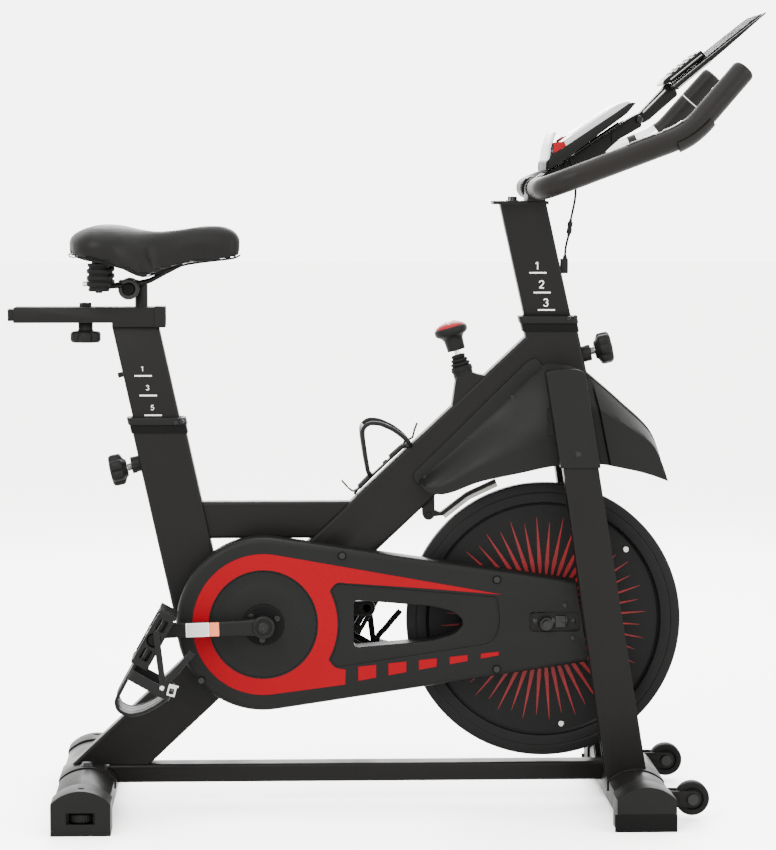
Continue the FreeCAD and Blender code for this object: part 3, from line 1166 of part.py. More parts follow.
BAR = V(size("bar_x"), 0, size("bar_z"))
rings = [
    disc("clamp_ring", BAR, "ring_radius", "ring_width", offset * size("ring_y")) for offset in (-1, 1)
]
bracket_half = size("bracket_half_width")
bracket = slab("console_bracket", "bracket", -bracket_half, 2 * bracket_half)
stand = cylinder("console_stand", V(300, 0, 975), V(-0.555, 0, 0.832), 14, 20)
bar_bore = disc("clamp_bore", BAR, "bar_radius", 120)
console_body = slab("console_body", "console", -size("console_half_width"), 2 * size("console_half_width"))
yoke = slab("clamp_yoke", "yoke", -size("ring_y"), 2 * size("ring_y"))
foot = block("clamp_foot", V(size("bar_x") - size("clamp_foot_length") / 2, -size("clamp_foot_width") / 2,
                             plate_top), "clamp_foot_length", "clamp_foot_width", "plate_drop")
keep(cut("handlebar_clamp", fuse("clamp_blank", rings + [foot, yoke, bracket, stand]), bar_bore,
         console_body), "handlebar_clamp")


# ---------------------------------------------------------------------------------------------
# Console, its button, and the tablet holder
# ---------------------------------------------------------------------------------------------
FACE_UP = V(-0.555, 0, 0.832)
FACE_ALONG = V(0.832, 0, 0.555)
button_base = V(250, 0, 985) + FACE_ALONG * 15 - FACE_UP * 6
recess = cylinder("button_recess", button_base, FACE_UP, size("button_radius") + 0.3, 20)
button_seat = button_base + FACE_UP * 2
keep(cut("console", console_body, recess), "console")
keep(cylinder("console_button", button_seat, FACE_UP, "button_radius", 7), "console_button")

tray_half = size("tray_half_width")
clip_half = size("clip_half_width")
tray_arm = slab("tray_arm", "tray_arm", -15, 30)
tray = slab("tray_plate", "tray", -tray_half, 2 * tray_half)
keep(fuse("tablet_holder", [tray, tray_arm]), "tablet_holder")
keep(slab("tablet_clip", "clip", -clip_half, 2 * clip_half), "tablet_clip")


# ---------------------------------------------------------------------------------------------
# Sensor lead between the console and the handlebar post
# ---------------------------------------------------------------------------------------------
LEAD_RADIUS = 1.75
upper_route = [V(273, -32, 968.9), V(277.5, -31.5, 955), V(281, -29, 940), V(283.5, -24, 924),
               V(283.5, -17, 907), V(281, -9.5, 891), V(278, -4, 875)]
lower_route = [V(275, -1.5, 851), V(272.2, -0.8, 840.5), V(270.3, -0.2, 829.5), V(270, 0, 817)]


def lead_radii(route):
    """Each bend as large as its two runs allow."""
    radii = []
    for number in range(1, len(route) - 1):
        before = route[number] - route[number - 1]
        after = route[number + 1] - route[number]
        turn = before.getAngle(after)
        shorter = min(before.Length, after.Length)
        radii.append(0.45 * shorter / math.tan(turn / 2))
    return radii


lead_shapes = []
for route in (upper_route, lower_route):
    radii = lead_radii(route)
    wire = rounded_path(route, radii)
    solid = swept_tube(wire, LEAD_RADIUS)
    expected = math.pi * LEAD_RADIUS ** 2 * wire.Length
    print(f"lead: length {wire.Length:.1f}, smallest radius {min(radii):.1f}, "
          f"volume ratio {solid.Volume / expected:.4f}")
    lead_shapes.append(solid)
keep(feature("sensor_lead_solids", Part.makeCompound(lead_shapes)), "sensor_lead")

connector_axis = (lower_route[0] - upper_route[-1]).normalize()
connector = cylinder("inline_connector", upper_route[-1], connector_axis, 4,
                     (lower_route[0] - upper_route[-1]).Length)
plug = block("post_plug", V(262.4, -5, 795), 12, 10, 22)
plug_blank = cut("post_plug_cut", plug, post_tube)
connectors = [cut("inline_connector_drilled", connector, NODES[-1]), plug_blank]
keep(group("Part::Compound", "lead_connectors", connectors), "lead_connectors")


# ---------------------------------------------------------------------------------------------
# Check and write every sub-part
# ---------------------------------------------------------------------------------------------
doc.recompute()
for item in doc.Objects:
    if "Invalid" in item.State or "Error" in item.State:
        raise RuntimeError(f"{item.Label} did not build: {item.State}")
os.makedirs("parts", exist_ok=True)
for item in NODES:
    shape = item.Shape
    if shape.isNull() or not shape.isValid() or not shape.Solids:
        raise RuntimeError(f"{item.Label} has no valid shape")
    shape.exportStep(f"parts/{item.Label}.step")
print(f"{len(NODES)} sub-parts written")
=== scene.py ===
import json
import math

import bmesh
import bpy
from mathutils import Matrix, Vector

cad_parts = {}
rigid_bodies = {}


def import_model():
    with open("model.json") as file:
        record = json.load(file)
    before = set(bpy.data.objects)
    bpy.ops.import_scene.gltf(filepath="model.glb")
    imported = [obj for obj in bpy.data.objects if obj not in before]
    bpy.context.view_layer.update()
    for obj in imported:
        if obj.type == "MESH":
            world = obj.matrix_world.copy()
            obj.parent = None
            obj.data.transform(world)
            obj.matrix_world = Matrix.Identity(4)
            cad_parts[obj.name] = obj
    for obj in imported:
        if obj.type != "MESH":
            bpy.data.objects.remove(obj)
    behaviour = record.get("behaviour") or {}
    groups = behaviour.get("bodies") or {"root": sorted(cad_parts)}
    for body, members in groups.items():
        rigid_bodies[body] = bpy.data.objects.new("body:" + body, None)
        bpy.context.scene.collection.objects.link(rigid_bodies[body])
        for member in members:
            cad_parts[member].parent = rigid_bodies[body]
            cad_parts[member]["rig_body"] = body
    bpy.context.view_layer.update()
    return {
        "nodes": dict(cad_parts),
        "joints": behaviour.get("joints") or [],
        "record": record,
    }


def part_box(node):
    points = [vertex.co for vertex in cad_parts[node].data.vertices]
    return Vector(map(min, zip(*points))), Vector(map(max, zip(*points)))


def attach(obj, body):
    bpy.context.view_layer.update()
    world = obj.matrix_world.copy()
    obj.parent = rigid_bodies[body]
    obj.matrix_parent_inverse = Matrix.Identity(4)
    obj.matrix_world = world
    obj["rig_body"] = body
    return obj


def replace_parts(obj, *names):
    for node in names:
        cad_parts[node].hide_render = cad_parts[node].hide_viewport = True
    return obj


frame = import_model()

# Indoor spin bike. Everything is in metres in the row frame; MM turns millimetres into metres.
# +X points forward, +Z up, and -Y is the rider's right-hand side, where the belt case is.
MM = 0.001
JOINTS = {joint["name"]: joint for joint in frame["joints"]}
SIDES = {"right": -1, "left": 1}
X_AXIS = Vector((1, 0, 0))
Y_AXIS = Vector((0, 1, 0))
Z_AXIS = Vector((0, 0, 1))


def mm(x, y, z):
    return Vector((x, y, z)) * MM


def joint_point(name):
    return Vector(JOINTS[name]["pos_m"])


def joint_axis(name):
    return Vector(JOINTS[name]["axis"]).normalized()


CRANK = joint_point("crank_spin")
WHEEL = joint_point("flywheel_spin")
POST_UP = joint_axis("seat_post_height")
POST_FORWARD = Vector((POST_UP.z, 0, -POST_UP.x))


# ---------------------------------------------------------------------------------------------
# Camera, light and floor
# ---------------------------------------------------------------------------------------------
CAMERA_LENS = 138.98
CAMERA_PLACE = (-0.1786, -4.8876, 0.9436)
# Radians that the camera looks down, and towards the front of the bike.
CAMERA_DOWN = 0.0765
CAMERA_ASIDE = 0.0377


def add_camera():
    """A long lens level with the rider's hands, a little behind the middle of the bike."""
    data = bpy.data.cameras.new("camera")
    data.sensor_width = 36.0
    data.lens = CAMERA_LENS
    camera = bpy.data.objects.new("camera", data)
    bpy.context.scene.collection.objects.link(camera)
    camera.location = CAMERA_PLACE
    camera.rotation_euler = (math.radians(90) - CAMERA_DOWN, 0, -CAMERA_ASIDE)
    bpy.context.scene.camera = camera


def add_area_light(name, place, target, width, power):
    data = bpy.data.lights.new(name, "AREA")
    data.shape = "SQUARE"
    data.size = width
    data.energy = power
    light = bpy.data.objects.new(name, data)
    bpy.context.scene.collection.objects.link(light)
    light.location = place
    light.rotation_euler = (Vector(target) - Vector(place)).to_track_quat("-Z", "Y").to_euler()


def add_studio():
    world = bpy.data.worlds.new("studio")
    bpy.context.scene.world = world
    world.use_nodes = True
    sky = world.node_tree.nodes["Background"]
    sky.inputs["Color"].default_value = (1.0, 0.995, 0.985, 1)
    sky.inputs["Strength"].default_value = 6.2
    middle = (0.0, 0.0, 0.55)
    add_area_light("key_light", (-1.6, -3.2, 2.9), middle, 2.2, 330)
    add_area_light("fill_light", (2.8, -2.2, 1.6), middle, 2.0, 160)
    add_area_light("back_light", (0.4, 3.0, 2.4), middle, 2.4, 220)
    add_area_light("top_light", (0.0, 0.0, 3.4), middle, 2.6, 130)


def add_floor():
    mesh = bpy.data.meshes.new("floor")
    half = 30.0
    mesh.from_pydata([(-half, -half, 0), (half, -half, 0), (half, half, 0), (-half, half, 0)], [],
                     [(0, 1, 2, 3)])
    floor = bpy.data.objects.new("floor", mesh)
    bpy.context.scene.collection.objects.link(floor)
    mesh.materials.append(paint("floor_finish", (0.86, 0.86, 0.85), 0.5, mottle=(0.6, 0.02)))


# ---------------------------------------------------------------------------------------------
# Materials
# ---------------------------------------------------------------------------------------------
def paint(name, colour, roughness, mottle=(40, 0.15), spread=0.06, grains=(), metallic=0.0,
          coat=0.0, sheen=0.0, specular=0.5):
    """Surface with a slight change of colour and gloss, and one bump for each of `grains`.

    A grain is (texture, size of one bump in metres, height of it in metres)."""
    item = bpy.data.materials.new(name)
    item.use_nodes = True
    nodes = item.node_tree.nodes
    links = item.node_tree.links
    shader = nodes["Principled BSDF"]
    for label, value in (("Metallic", metallic), ("Coat Weight", coat), ("Coat Roughness", 0.25),
                         ("Sheen Weight", sheen), ("Specular IOR Level", specular)):
        shader.inputs[label].default_value = value
    place = nodes.new("ShaderNodeTexCoord")

    def texture_node(kind, scale, detail=None):
        node = nodes.new("ShaderNodeTex" + kind)
        node.inputs["Scale"].default_value = scale
        if detail:
            node.inputs["Detail"].default_value = detail
        links.new(place.outputs["Object"], node.inputs["Vector"])
        return node

    cloud = texture_node("Noise", mottle[0], 6)
    tint = nodes.new("ShaderNodeMix")
    tint.data_type = "RGBA"
    for end, factor in (("A", 1 - mottle[1]), ("B", 1 + mottle[1])):
        tint.inputs[end].default_value = (*[channel * factor for channel in colour], 1)
    links.new(cloud.outputs["Fac"], tint.inputs["Factor"])
    links.new(tint.outputs["Result"], shader.inputs["Base Color"])

    wear = texture_node("Noise", mottle[0] * 2.7, 8)
    gloss = nodes.new("ShaderNodeMapRange")
    for label, value in (("From Min", 0.3), ("From Max", 0.7), ("To Min", max(0.02, roughness - spread)),
                         ("To Max", min(1.0, roughness + spread))):
        gloss.inputs[label].default_value = value
    links.new(wear.outputs["Fac"], gloss.inputs["Value"])
    links.new(gloss.outputs["Result"], shader.inputs["Roughness"])

    normal = None
    for texture, size, height in grains:
        if texture == "cells":
            grain = texture_node("Voronoi", 1 / size)
            grain.feature = "DISTANCE_TO_EDGE"
            source = grain.outputs["Distance"]
        else:
            source = texture_node("Noise", 1 / size, 3).outputs["Fac"]
        bump = nodes.new("ShaderNodeBump")
        bump.inputs["Strength"].default_value = 1.0
        bump.inputs["Distance"].default_value = height
        links.new(source, bump.inputs["Height"])
        if normal:
            links.new(normal, bump.inputs["Normal"])
        normal = bump.outputs["Normal"]
    if normal:
        links.new(normal, shader.inputs["Normal"])
    return item


add_camera()
add_studio()
add_floor()

DARK = 0.04
FINISH = {
    "black_paint": paint("powder_coat", (0.00252, 0.002394, 0.002268), 0.42, mottle=(9, 0.12), specular=DARK,
                         grains=[("noise", 0.0012, 0.00008), ("noise", 0.0004, 0.00003)]),
    "bright_steel": paint("plated_steel", (0.252, 0.252, 0.2485), 0.28, mottle=(60, 0.1), metallic=1.0,
                          grains=[("noise", 0.0006, 0.00002)]),
    "dark_steel": paint("blackened_steel", (0.00672, 0.00672, 0.00672), 0.35, mottle=(60, 0.2), metallic=0.9,
                        grains=[("noise", 0.0006, 0.00002)]),
    "black_plastic": paint("moulded_plastic", (0.002604, 0.002604, 0.00252), 0.5, mottle=(14, 0.1),
                           specular=DARK,
                           grains=[("noise", 0.002, 0.00002)]),
    "case_plastic": paint("case_plastic", (0.002688, 0.002688, 0.002604), 0.46, mottle=(7, 0.1),
                          specular=DARK,
                          grains=[("noise", 0.0005, 0.00005)]),
    # Darker plastic with little gloss; in the pin holes of the posts and the screw wells of the case its
    # darkness is painted shade.
    "recess_plastic": paint("recess_plastic", (0.001764, 0.001764, 0.001722), 0.6, mottle=(20, 0.1),
                            specular=0.02,
                            grains=[("noise", 0.0009, 0.0001)]),
    "black_rubber": paint("black_rubber", (0.0021, 0.0021, 0.002016), 0.62, mottle=(30, 0.15), specular=DARK,
                          grains=[("noise", 0.0015, 0.00012)]),
    "foam_grip": paint("dipped_foam", (0.0026, 0.0022, 0.0019), 0.5, mottle=(16, 0.14), coat=0.01,
                       specular=0.05, grains=[("noise", 0.0024, 0.00005), ("noise", 0.0008, 0.00001)]),
    "toe_plastic": paint("toe_cage_plastic", (0.0021, 0.0021, 0.002), 0.42, mottle=(30, 0.12), specular=0.05,
                         grains=[("noise", 0.0007, 0.00006)]),
    "flywheel_iron": paint("painted_casting", (0.002184, 0.002184, 0.002184), 0.45, mottle=(11, 0.15),
                           specular=DARK, grains=[("noise", 0.0022, 0.00012), ("noise", 0.0006, 0.00004)]),
    "pulley_metal": paint("turned_aluminium", (0.21, 0.21, 0.2135), 0.35, metallic=1.0, mottle=(50, 0.08),
                          grains=[("noise", 0.0008, 0.00003)]),
    "felt": paint("brake_felt", (0.112, 0.1085, 0.098), 0.95, mottle=(90, 0.25), sheen=0.3,
                  grains=[("noise", 0.0009, 0.0004)]),
    "saddle_skin": paint("grained_vinyl", (0.0019, 0.0018, 0.0017), 0.5, mottle=(14, 0.12), coat=0.01,
                         specular=0.045, grains=[("cells", 0.0016, 0.00005), ("noise", 0.0005, 0.00003)]),
    "console_shell": paint("silver_shell", (0.168, 0.1715, 0.1715), 0.3, mottle=(20, 0.05), metallic=0.3,
                           grains=[("noise", 0.0005, 0.00002)]),
    "console_glass": paint("console_glass", (0.00126, 0.00147, 0.00147), 0.12, mottle=(12, 0.2), coat=0.3,
                           specular=0.3, grains=[("noise", 0.004, 0.00001)]),
    "lcd": paint("display_glass", (0.0525, 0.0595, 0.049), 0.2, mottle=(90, 0.05),
                 grains=[("noise", 0.003, 0.00001)]),
    "red_plastic": paint("red_plastic", (0.09, 0.0002, 0.002), 0.34, mottle=(20, 0.08), coat=0.02,
                         specular=0.05, grains=[("noise", 0.0005, 0.00003)]),
    "red_panel": paint("red_case_panel", (0.083, 0.0002, 0.002), 0.42, mottle=(10, 0.06), specular=0.02,
                       grains=[("noise", 0.0005, 0.00004)]),
    "red_ray": paint("red_ray_ink", (0.065, 0.00175, 0.0025), 0.45, mottle=(60, 0.25), specular=0.1,
                     grains=[("noise", 0.0009, 0.00005)]),
    "white_ink": paint("white_ink", (0.294, 0.294, 0.287), 0.5, mottle=(120, 0.12),
                       grains=[("noise", 0.0006, 0.00003)]),
    "grey_label": paint("grey_label", (0.2, 0.2, 0.195), 0.35, mottle=(80, 0.08),
                        grains=[("noise", 0.0008, 0.00002)]),
    "orange_label": paint("orange_label", (0.3, 0.045, 0.001), 0.4, mottle=(80, 0.1),
                          grains=[("noise", 0.0008, 0.00002)]),
    "smooth_black": paint("smooth_plastic", (0.0022, 0.0022, 0.0021), 0.4, mottle=(14, 0.1), specular=DARK,
                          grains=[("noise", 0.003, 0.00001)]),
    # Lighter grey strips along the edges of the tablet tray, arm and clip: painted highlights on those edges
    # of black plastic.
    "edge_grey": paint("painted_edge_highlight", (0.12, 0.12, 0.115), 0.4, mottle=(30, 0.1), metallic=0.6,
                       grains=[("noise", 0.003, 0.00001)]),
    "strap_web": paint("strap_webbing", (0.00231, 0.00231, 0.00231), 0.6, mottle=(60, 0.2), sheen=0.05,
                       specular=DARK, grains=[("cells", 0.0011, 0.0002)]),
}
RECORD_SLOT = {entry["node"]: entry["material_slot"] for entry in frame["record"]["subparts"]}
NODE_FINISH = dict(RECORD_SLOT, cover_screws="dark_steel", saddle_rails="black_paint",
                   flywheel_axle="dark_steel", frame_bolts="dark_steel")
for node, item in frame["nodes"].items():
    item.data.materials.clear()
    item.data.materials.append(FINISH[NODE_FINISH[node]])


# ---------------------------------------------------------------------------------------------
# Mesh helpers
# ---------------------------------------------------------------------------------------------
def apply_modifiers(item):
    """The object's mesh becomes what its modifiers make of it."""
    bpy.context.view_layer.update()
    final = bpy.data.meshes.new_from_object(item.evaluated_get(bpy.context.evaluated_depsgraph_get()))
    item.modifiers.clear()
    item.data = final
    return final


def settle(name, mesh, finish, body, slot=None, bevel=0.0, segments=3, subdivisions=0, sharp=38,
           thickness=0.0):
    """Object from a mesh, with its modifiers applied, riding on a body; bevel in millimetres."""
    item = bpy.data.objects.new(name, mesh)
    bpy.context.scene.collection.objects.link(item)
    if thickness:
        shell = item.modifiers.new("thickness", "SOLIDIFY")
        shell.thickness = thickness
        shell.offset = 0
    if bevel:
        edge = item.modifiers.new("edges", "BEVEL")
        edge.width = bevel * MM
        edge.segments = segments
        edge.limit_method = "ANGLE"
        edge.angle_limit = math.radians(32)
    if subdivisions:
        smooth = item.modifiers.new("smooth", "SUBSURF")
        smooth.levels = subdivisions
        smooth.render_levels = subdivisions
    if item.modifiers:
        apply_modifiers(item)
    item.data.shade_smooth()
    item.data.set_sharp_from_angle(angle=math.radians(sharp))
    item.data.materials.clear()
    item.data.materials.append(FINISH[finish])
    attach(item, body)
    return item


def from_bmesh(name, bm, *args, **options):
    bmesh.ops.recalc_face_normals(bm, faces=bm.faces)
    mesh = bpy.data.meshes.new(name)
    bm.to_mesh(mesh)
    bm.free()
    return settle(name, mesh, *args, **options)


def eased(points, radius, closed=True, steps=4):
    """Outline whose corners are rounded by a short curve each; radius is one number or a list."""
    result = []
    count = len(points)
    corners = [Vector(point) for point in points]
    for number, corner in enumerate(corners):
        reach = radius[number] if isinstance(radius, (list, tuple)) else radius
        if reach == 0 or (not closed and number in (0, count - 1)):
            result.append(corner)
            continue
        back = corners[number - 1] - corner
        ahead = corners[(number + 1) % count] - corner
        reach = min(reach, back.length * 0.46, ahead.length * 0.46)
        start = corner + back.normalized() * reach
        end = corner + ahead.normalized() * reach
        for step in range(steps + 1):
            share = step / steps
            result.append(start.lerp(corner, share).lerp(corner.lerp(end, share), share))
    return result


def curve_through(points, steps=8, closed=False):
    """Smooth line through the points, for bands, wires and skins that are not cords."""
    line = [Vector(point) for point in points]
    count = len(line)
    result = []
    runs = count if closed else count - 1
    for number in range(runs):
        p1 = line[number]
        p2 = line[(number + 1) % count]
        p0 = line[number - 1] if closed or number else p1 * 2 - p2
        p3 = line[(number + 2) % count] if closed or number + 2 < count else p2 * 2 - p1
        for step in range(steps):
            t = step / steps
            result.append(0.5 * (2 * p1 + (p2 - p0) * t + (2 * p0 - 5 * p1 + 4 * p2 - p3) * t * t
                                 + (3 * p1 - p0 - 3 * p2 + p3) * t * t * t))
    if not closed:
        result.append(line[-1])
    return result


def circle(radius, count, start=0.0):
    return [Vector((radius * math.cos(start + math.tau * number / count),
                    radius * math.sin(start + math.tau * number / count))) for number in range(count)]


def metres(loop):
    return [(point[0] * MM, point[1] * MM) for point in loop]


def bar_section(half_across, half_up, radius):
    """Rounded rectangle as a section for sweep, from sizes in millimetres."""
    return metres(eased([(-half_across, -half_up), (half_across, -half_up), (half_across, half_up),
                         (-half_across, half_up)], radius, steps=2))


def span(side, near, far):
    """Lowest and highest y of a piece on one side, from its distances to the middle in millimetres."""
    return sorted((side * near * MM, side * far * MM))


def bridge(bm, rings):
    """Quads between neighbouring rings of vertices."""
    for lower, upper in zip(rings, rings[1:]):
        for number in range(len(lower)):
            after = (number + 1) % len(lower)
            bm.faces.new((lower[number], lower[after], upper[after], upper[number]))


def lathe(name, profile, centre, axis, finish, body, slot=None, segments=48, shape=None, **options):
    """Turned piece. The profile is (radius, height) in millimetres; shape may change a radius."""
    turn = Vector(axis).to_track_quat("Z", "Y").to_matrix().to_4x4()
    place = Matrix.Translation(centre) @ turn
    bm = bmesh.new()
    rings = []
    for radius, height in profile:
        if radius < 1e-6:
            rings.append([bm.verts.new(place @ mm(0, 0, height))])
            continue
        ring = []
        for number in range(segments):
            angle = math.tau * number / segments
            reach = shape(angle, radius, height) if shape else radius
            ring.append(bm.verts.new(place @ mm(reach * math.cos(angle), reach * math.sin(angle), height)))
        rings.append(ring)
    for lower, upper in zip(rings, rings[1:]):
        if len(lower) == 1 and len(upper) == 1:
            continue
        for number in range(segments):
            after = (number + 1) % segments
            if len(lower) == 1:
                bm.faces.new((lower[0], upper[after], upper[number]))
            elif len(upper) == 1:
                bm.faces.new((lower[number], lower[after], upper[0]))
            else:
                bm.faces.new((lower[number], lower[after], upper[after], upper[number]))
    for ring in (rings[0], rings[-1]):
        if len(ring) > 1:
            bm.faces.new(ring)
    return from_bmesh(name, bm, finish, body, slot, **options)


def turned(points, radius=1.0, steps=3):
    """Lathe profile with eased corners."""
    return [(point.x, point.y) for point in eased(points, radius, closed=False, steps=steps)]


def washer(name, outer, inner, low, high, centre, axis, finish, body, slot=None, segments=64, ease=0.6):
    """Ring with eased edges."""
    loop = eased([(outer, low), (outer, high), (inner, high), (inner, low)], ease, steps=3)
    turn = Vector(axis).to_track_quat("Z", "Y").to_matrix().to_4x4()
    place = Matrix.Translation(centre) @ turn
    bm = bmesh.new()
    rings = []
    for point in loop:
        rings.append([bm.verts.new(place @ mm(point.x * math.cos(math.tau * number / segments),
                                              point.x * math.sin(math.tau * number / segments), point.y))
                      for number in range(segments)])
    bridge(bm, rings + rings[:1])
    return from_bmesh(name, bm, finish, body, slot)


def plate(name, loops, low, high, finish, body, slot=None, place=None, **options):
    """Flat piece: outlines in (x, z) metres, the first one outside and the rest holes, from y low to high."""
    bm = bmesh.new()
    for loop in loops:
        verts = [bm.verts.new((point[0], low, point[1])) for point in loop]
        for first, second in zip(verts, verts[1:] + verts[:1]):
            bm.edges.new((first, second))
    if len(loops) == 1:
        bm.faces.new(list(bm.verts))
    else:
        bmesh.ops.triangle_fill(bm, use_beauty=True, use_dissolve=True, edges=list(bm.edges))
    grown = bmesh.ops.extrude_face_region(bm, geom=list(bm.faces))
    moved = [part for part in grown["geom"] if isinstance(part, bmesh.types.BMVert)]
    bmesh.ops.translate(bm, vec=(0, high - low, 0), verts=moved)
    if place:
        bmesh.ops.transform(bm, matrix=place, verts=bm.verts)
    return from_bmesh(name, bm, finish, body, slot, **options)


def box(name, low, high, finish, body, slot=None, place=None, **options):
    """Block from its lowest to its highest corner; its edges are bevelled when a bevel is given."""
    loop = [(low[0], low[2]), (high[0], low[2]), (high[0], high[2]), (low[0], high[2])]
    return plate(name, [loop], low[1], high[1], finish, body, slot, place, **options)


def sweep(name, path, section, up, finish, body, slot=None, closed=False, scale=None, **options):
    """Section, as (across, upwards) in metres, carried along a path; up is a direction or one per point."""
    bm = bmesh.new()
    rings = []
    count = len(path)
    for number, point in enumerate(path):
        before = path[number - 1] if closed or number else point
        after = path[(number + 1) % count] if closed or number + 1 < count else point
        heading = (Vector(after) - Vector(before)).normalized()
        lift = up[number] if isinstance(up, list) else up
        side = heading.cross(lift).normalized()
        rise = side.cross(heading).normalized()
        factor = scale(number / (count - 1)) if scale else (1, 1)
        rings.append([bm.verts.new(Vector(point) + side * across * factor[0] + rise * height * factor[1])
                      for across, height in section])
    bridge(bm, rings + rings[:1] if closed else rings)
    if not closed:
        bm.faces.new(rings[0])
        bm.faces.new(rings[-1])
    return from_bmesh(name, bm, finish, body, slot, **options)


def soften(node, width, finish=None, segments=2, limit=30, name=None):
    """Copy of a CAD node with edges bevelled by a width in millimetres, which stands for the node."""
    source = frame["nodes"][node]
    bm = bmesh.new()
    bm.from_mesh(source.data)
    bmesh.ops.remove_doubles(bm, verts=bm.verts, dist=2e-6)
    bmesh.ops.dissolve_limit(bm, angle_limit=math.radians(0.4), verts=bm.verts, edges=bm.edges)
    body = source["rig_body"]
    item = from_bmesh(name or node + "_piece", bm, finish or NODE_FINISH[node], body, RECORD_SLOT[node],
                      bevel=width, segments=segments, sharp=limit)
    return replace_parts(item, node)


def join(name, items, nodes=()):
    """One piece made of several that ride on the same body."""
    first = items[0]
    if len(items) > 1:
        bpy.ops.object.select_all(action="DESELECT")
        for item in items:
            item.select_set(True)
        bpy.context.view_layer.objects.active = first
        bpy.ops.object.join()
    first.name = name
    if nodes:
        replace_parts(first, *nodes)
    return first


def heads(name, profile, places, finish, body, slot=None, segments=24, **options):
    """One piece with the same turned form at each place; a place is (centre, axis)."""
    return join(name, [lathe(name, profile, centre, axis, finish, body, slot, segments, **options)
                       for centre, axis in places])


def on_circle(centre, radius, degrees, y=0.0):
    """Point beside a centre that lies on an axis across the bike; radius and y in millimetres."""
    angle = math.radians(degrees)
    return centre + mm(radius * math.cos(angle), y, radius * math.sin(angle))


# ---------------------------------------------------------------------------------------------
# Sensor lead
# ---------------------------------------------------------------------------------------------
LEAD_DIAMETER = 3.5 * MM
UPPER_ROUTE = [(273, -32, 968.9), (277.5, -31.5, 955), (281, -29, 940), (283.5, -24, 924),
               (283.5, -17, 907), (281, -9.5, 891), (278, -4, 875)]
LOWER_ROUTE = [(275, -1.5, 851), (272.2, -0.8, 840.5), (270.3, -0.2, 829.5), (270, 0, 817)]


def lead_curve(name, route):
    data = bpy.data.curves.new(name, "CURVE")
    data.dimensions = "3D"
    spline = data.splines.new("NURBS")
    spline.points.add(len(route) - 1)
    for point, place in zip(spline.points, route):
        point.co = (*mm(*place), 1)
    spline.order_u = 3
    spline.use_endpoint_u = True
    spline.resolution_u = 12
    data.bevel_depth = LEAD_DIAMETER / 2
    data.bevel_resolution = 5
    data.use_fill_caps = True
    data.materials.append(FINISH["black_rubber"])
    item = bpy.data.objects.new(name, data)
    bpy.context.scene.collection.objects.link(item)
    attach(item, "handlebar")
    return item


def add_sensor_lead():
    """Lead from the console to the post, with an inline connector and a plug."""
    upper = lead_curve("sensor_lead_upper", UPPER_ROUTE)
    lower = lead_curve("sensor_lead_lower", LOWER_ROUTE)
    top = mm(*UPPER_ROUTE[-1])
    axis = mm(*LOWER_ROUTE[0]) - top
    length = axis.length / MM
    shell = turned([(0, 0), (2.4, 0), (2.4, 3), (3.9, 4), (3.9, 10), (3.2, 10.6), (3.2, 12.4), (3.9, 13),
                    (3.9, length - 4), (2.4, length - 3), (2.4, length), (0, length)], 0.4)
    connector = lathe("inline_connector", shell, top, axis, "toe_plastic", "handlebar", "black_rubber",
                      segments=24)
    plug_top = mm(*LOWER_ROUTE[-1])
    plug = box("post_plug", plug_top - mm(7, 5, 22), plug_top + mm(4.4, 5, 0), "toe_plastic", "handlebar",
               "black_rubber", bevel=1.0)
    relief = lathe("plug_relief", turned([(0, -1), (3.4, -1), (3.4, 1.5), (2.3, 5), (0, 5)], 0.4), plug_top,
                   Z_AXIS, "toe_plastic", "handlebar", "black_rubber", segments=24)
    plug = join("post_plug", [plug, relief])
    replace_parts(connector, "lead_connectors")
    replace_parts(upper, "sensor_lead")


add_sensor_lead()


# ---------------------------------------------------------------------------------------------
# Belt case: rounded shell, recess round the window, red panel and its dashes
# ---------------------------------------------------------------------------------------------
CASE_RADIUS = 129.0
CASE_TOP = (283.2, 339.9)
CASE_BOTTOM = (300.5, 218.8)
CASE_FACE = -62.0
CASE_SPLIT = -26.0
CRANK_MM = Vector((CRANK.x, CRANK.z)) / MM
RING_OUTER = 105.0
RING_INNER = 80.5
RECESS_RADIUS = 111.0


def touching(point, radius, side):
    """Where the line from a point grazes a circle round the crank."""
    away = Vector(point) - CRANK_MM
    angle = math.atan2(away.y, away.x) + side * math.acos(radius / away.length)
    return angle, CRANK_MM + Vector((math.cos(angle), math.sin(angle))) * radius


def crank_arc(radius, first, last, count):
    """Arc round the crank; angles in degrees."""
    return [CRANK_MM + Vector((math.cos(math.radians(first + (last - first) * step / count)),
                               math.sin(math.radians(first + (last - first) * step / count)))) * radius
            for step in range(count + 1)]


def case_outline(inset, count=72):
    radius = CASE_RADIUS - inset
    top = Vector((CASE_TOP[0], CASE_TOP[1] - inset))
    bottom = Vector((CASE_BOTTOM[0], CASE_BOTTOM[1] + inset))
    first, _ = touching(top, radius, 1)
    last, _ = touching(bottom, radius, -1)
    return [top] + crank_arc(radius, math.degrees(first), math.degrees(last) + 360, count) + [bottom]


WINDOW = [(-47, 242), (-47, 313), (70, 303), (104, 294), (118, 278), (104, 262), (70, 252)]
RECESS_TOP_LEFT = (-73.4, 339.1)
RECESS_TOP_RIGHT = (166.5, 318)
RECESS_LOW_RIGHT = (156, 246)
RECESS_LOW_LEFT = (-73.7, 211.6)
SLOT = [(214, 265), (289, 265), (289, 294), (214, 294)]


def recess_outline(grow=0.0):
    upper = crank_arc(RECESS_RADIUS - grow, 27, -29, 14)
    corners = [Vector(RECESS_TOP_RIGHT) + Vector((grow, grow * 0.5)),
               Vector(RECESS_TOP_LEFT) + Vector((0, grow))]
    loop = corners + upper + [Vector(RECESS_LOW_LEFT) - Vector((0, grow)),
                              Vector(RECESS_LOW_RIGHT) - Vector((0, grow)),
                              Vector((168 + grow, 262)), Vector((171 + grow, 284))]
    radii = [6, 7] + [0] * len(upper) + [7, 20, 16, 16]
    radii[2] = 4
    radii[len(upper) + 1] = 4
    return eased(loop, radii)


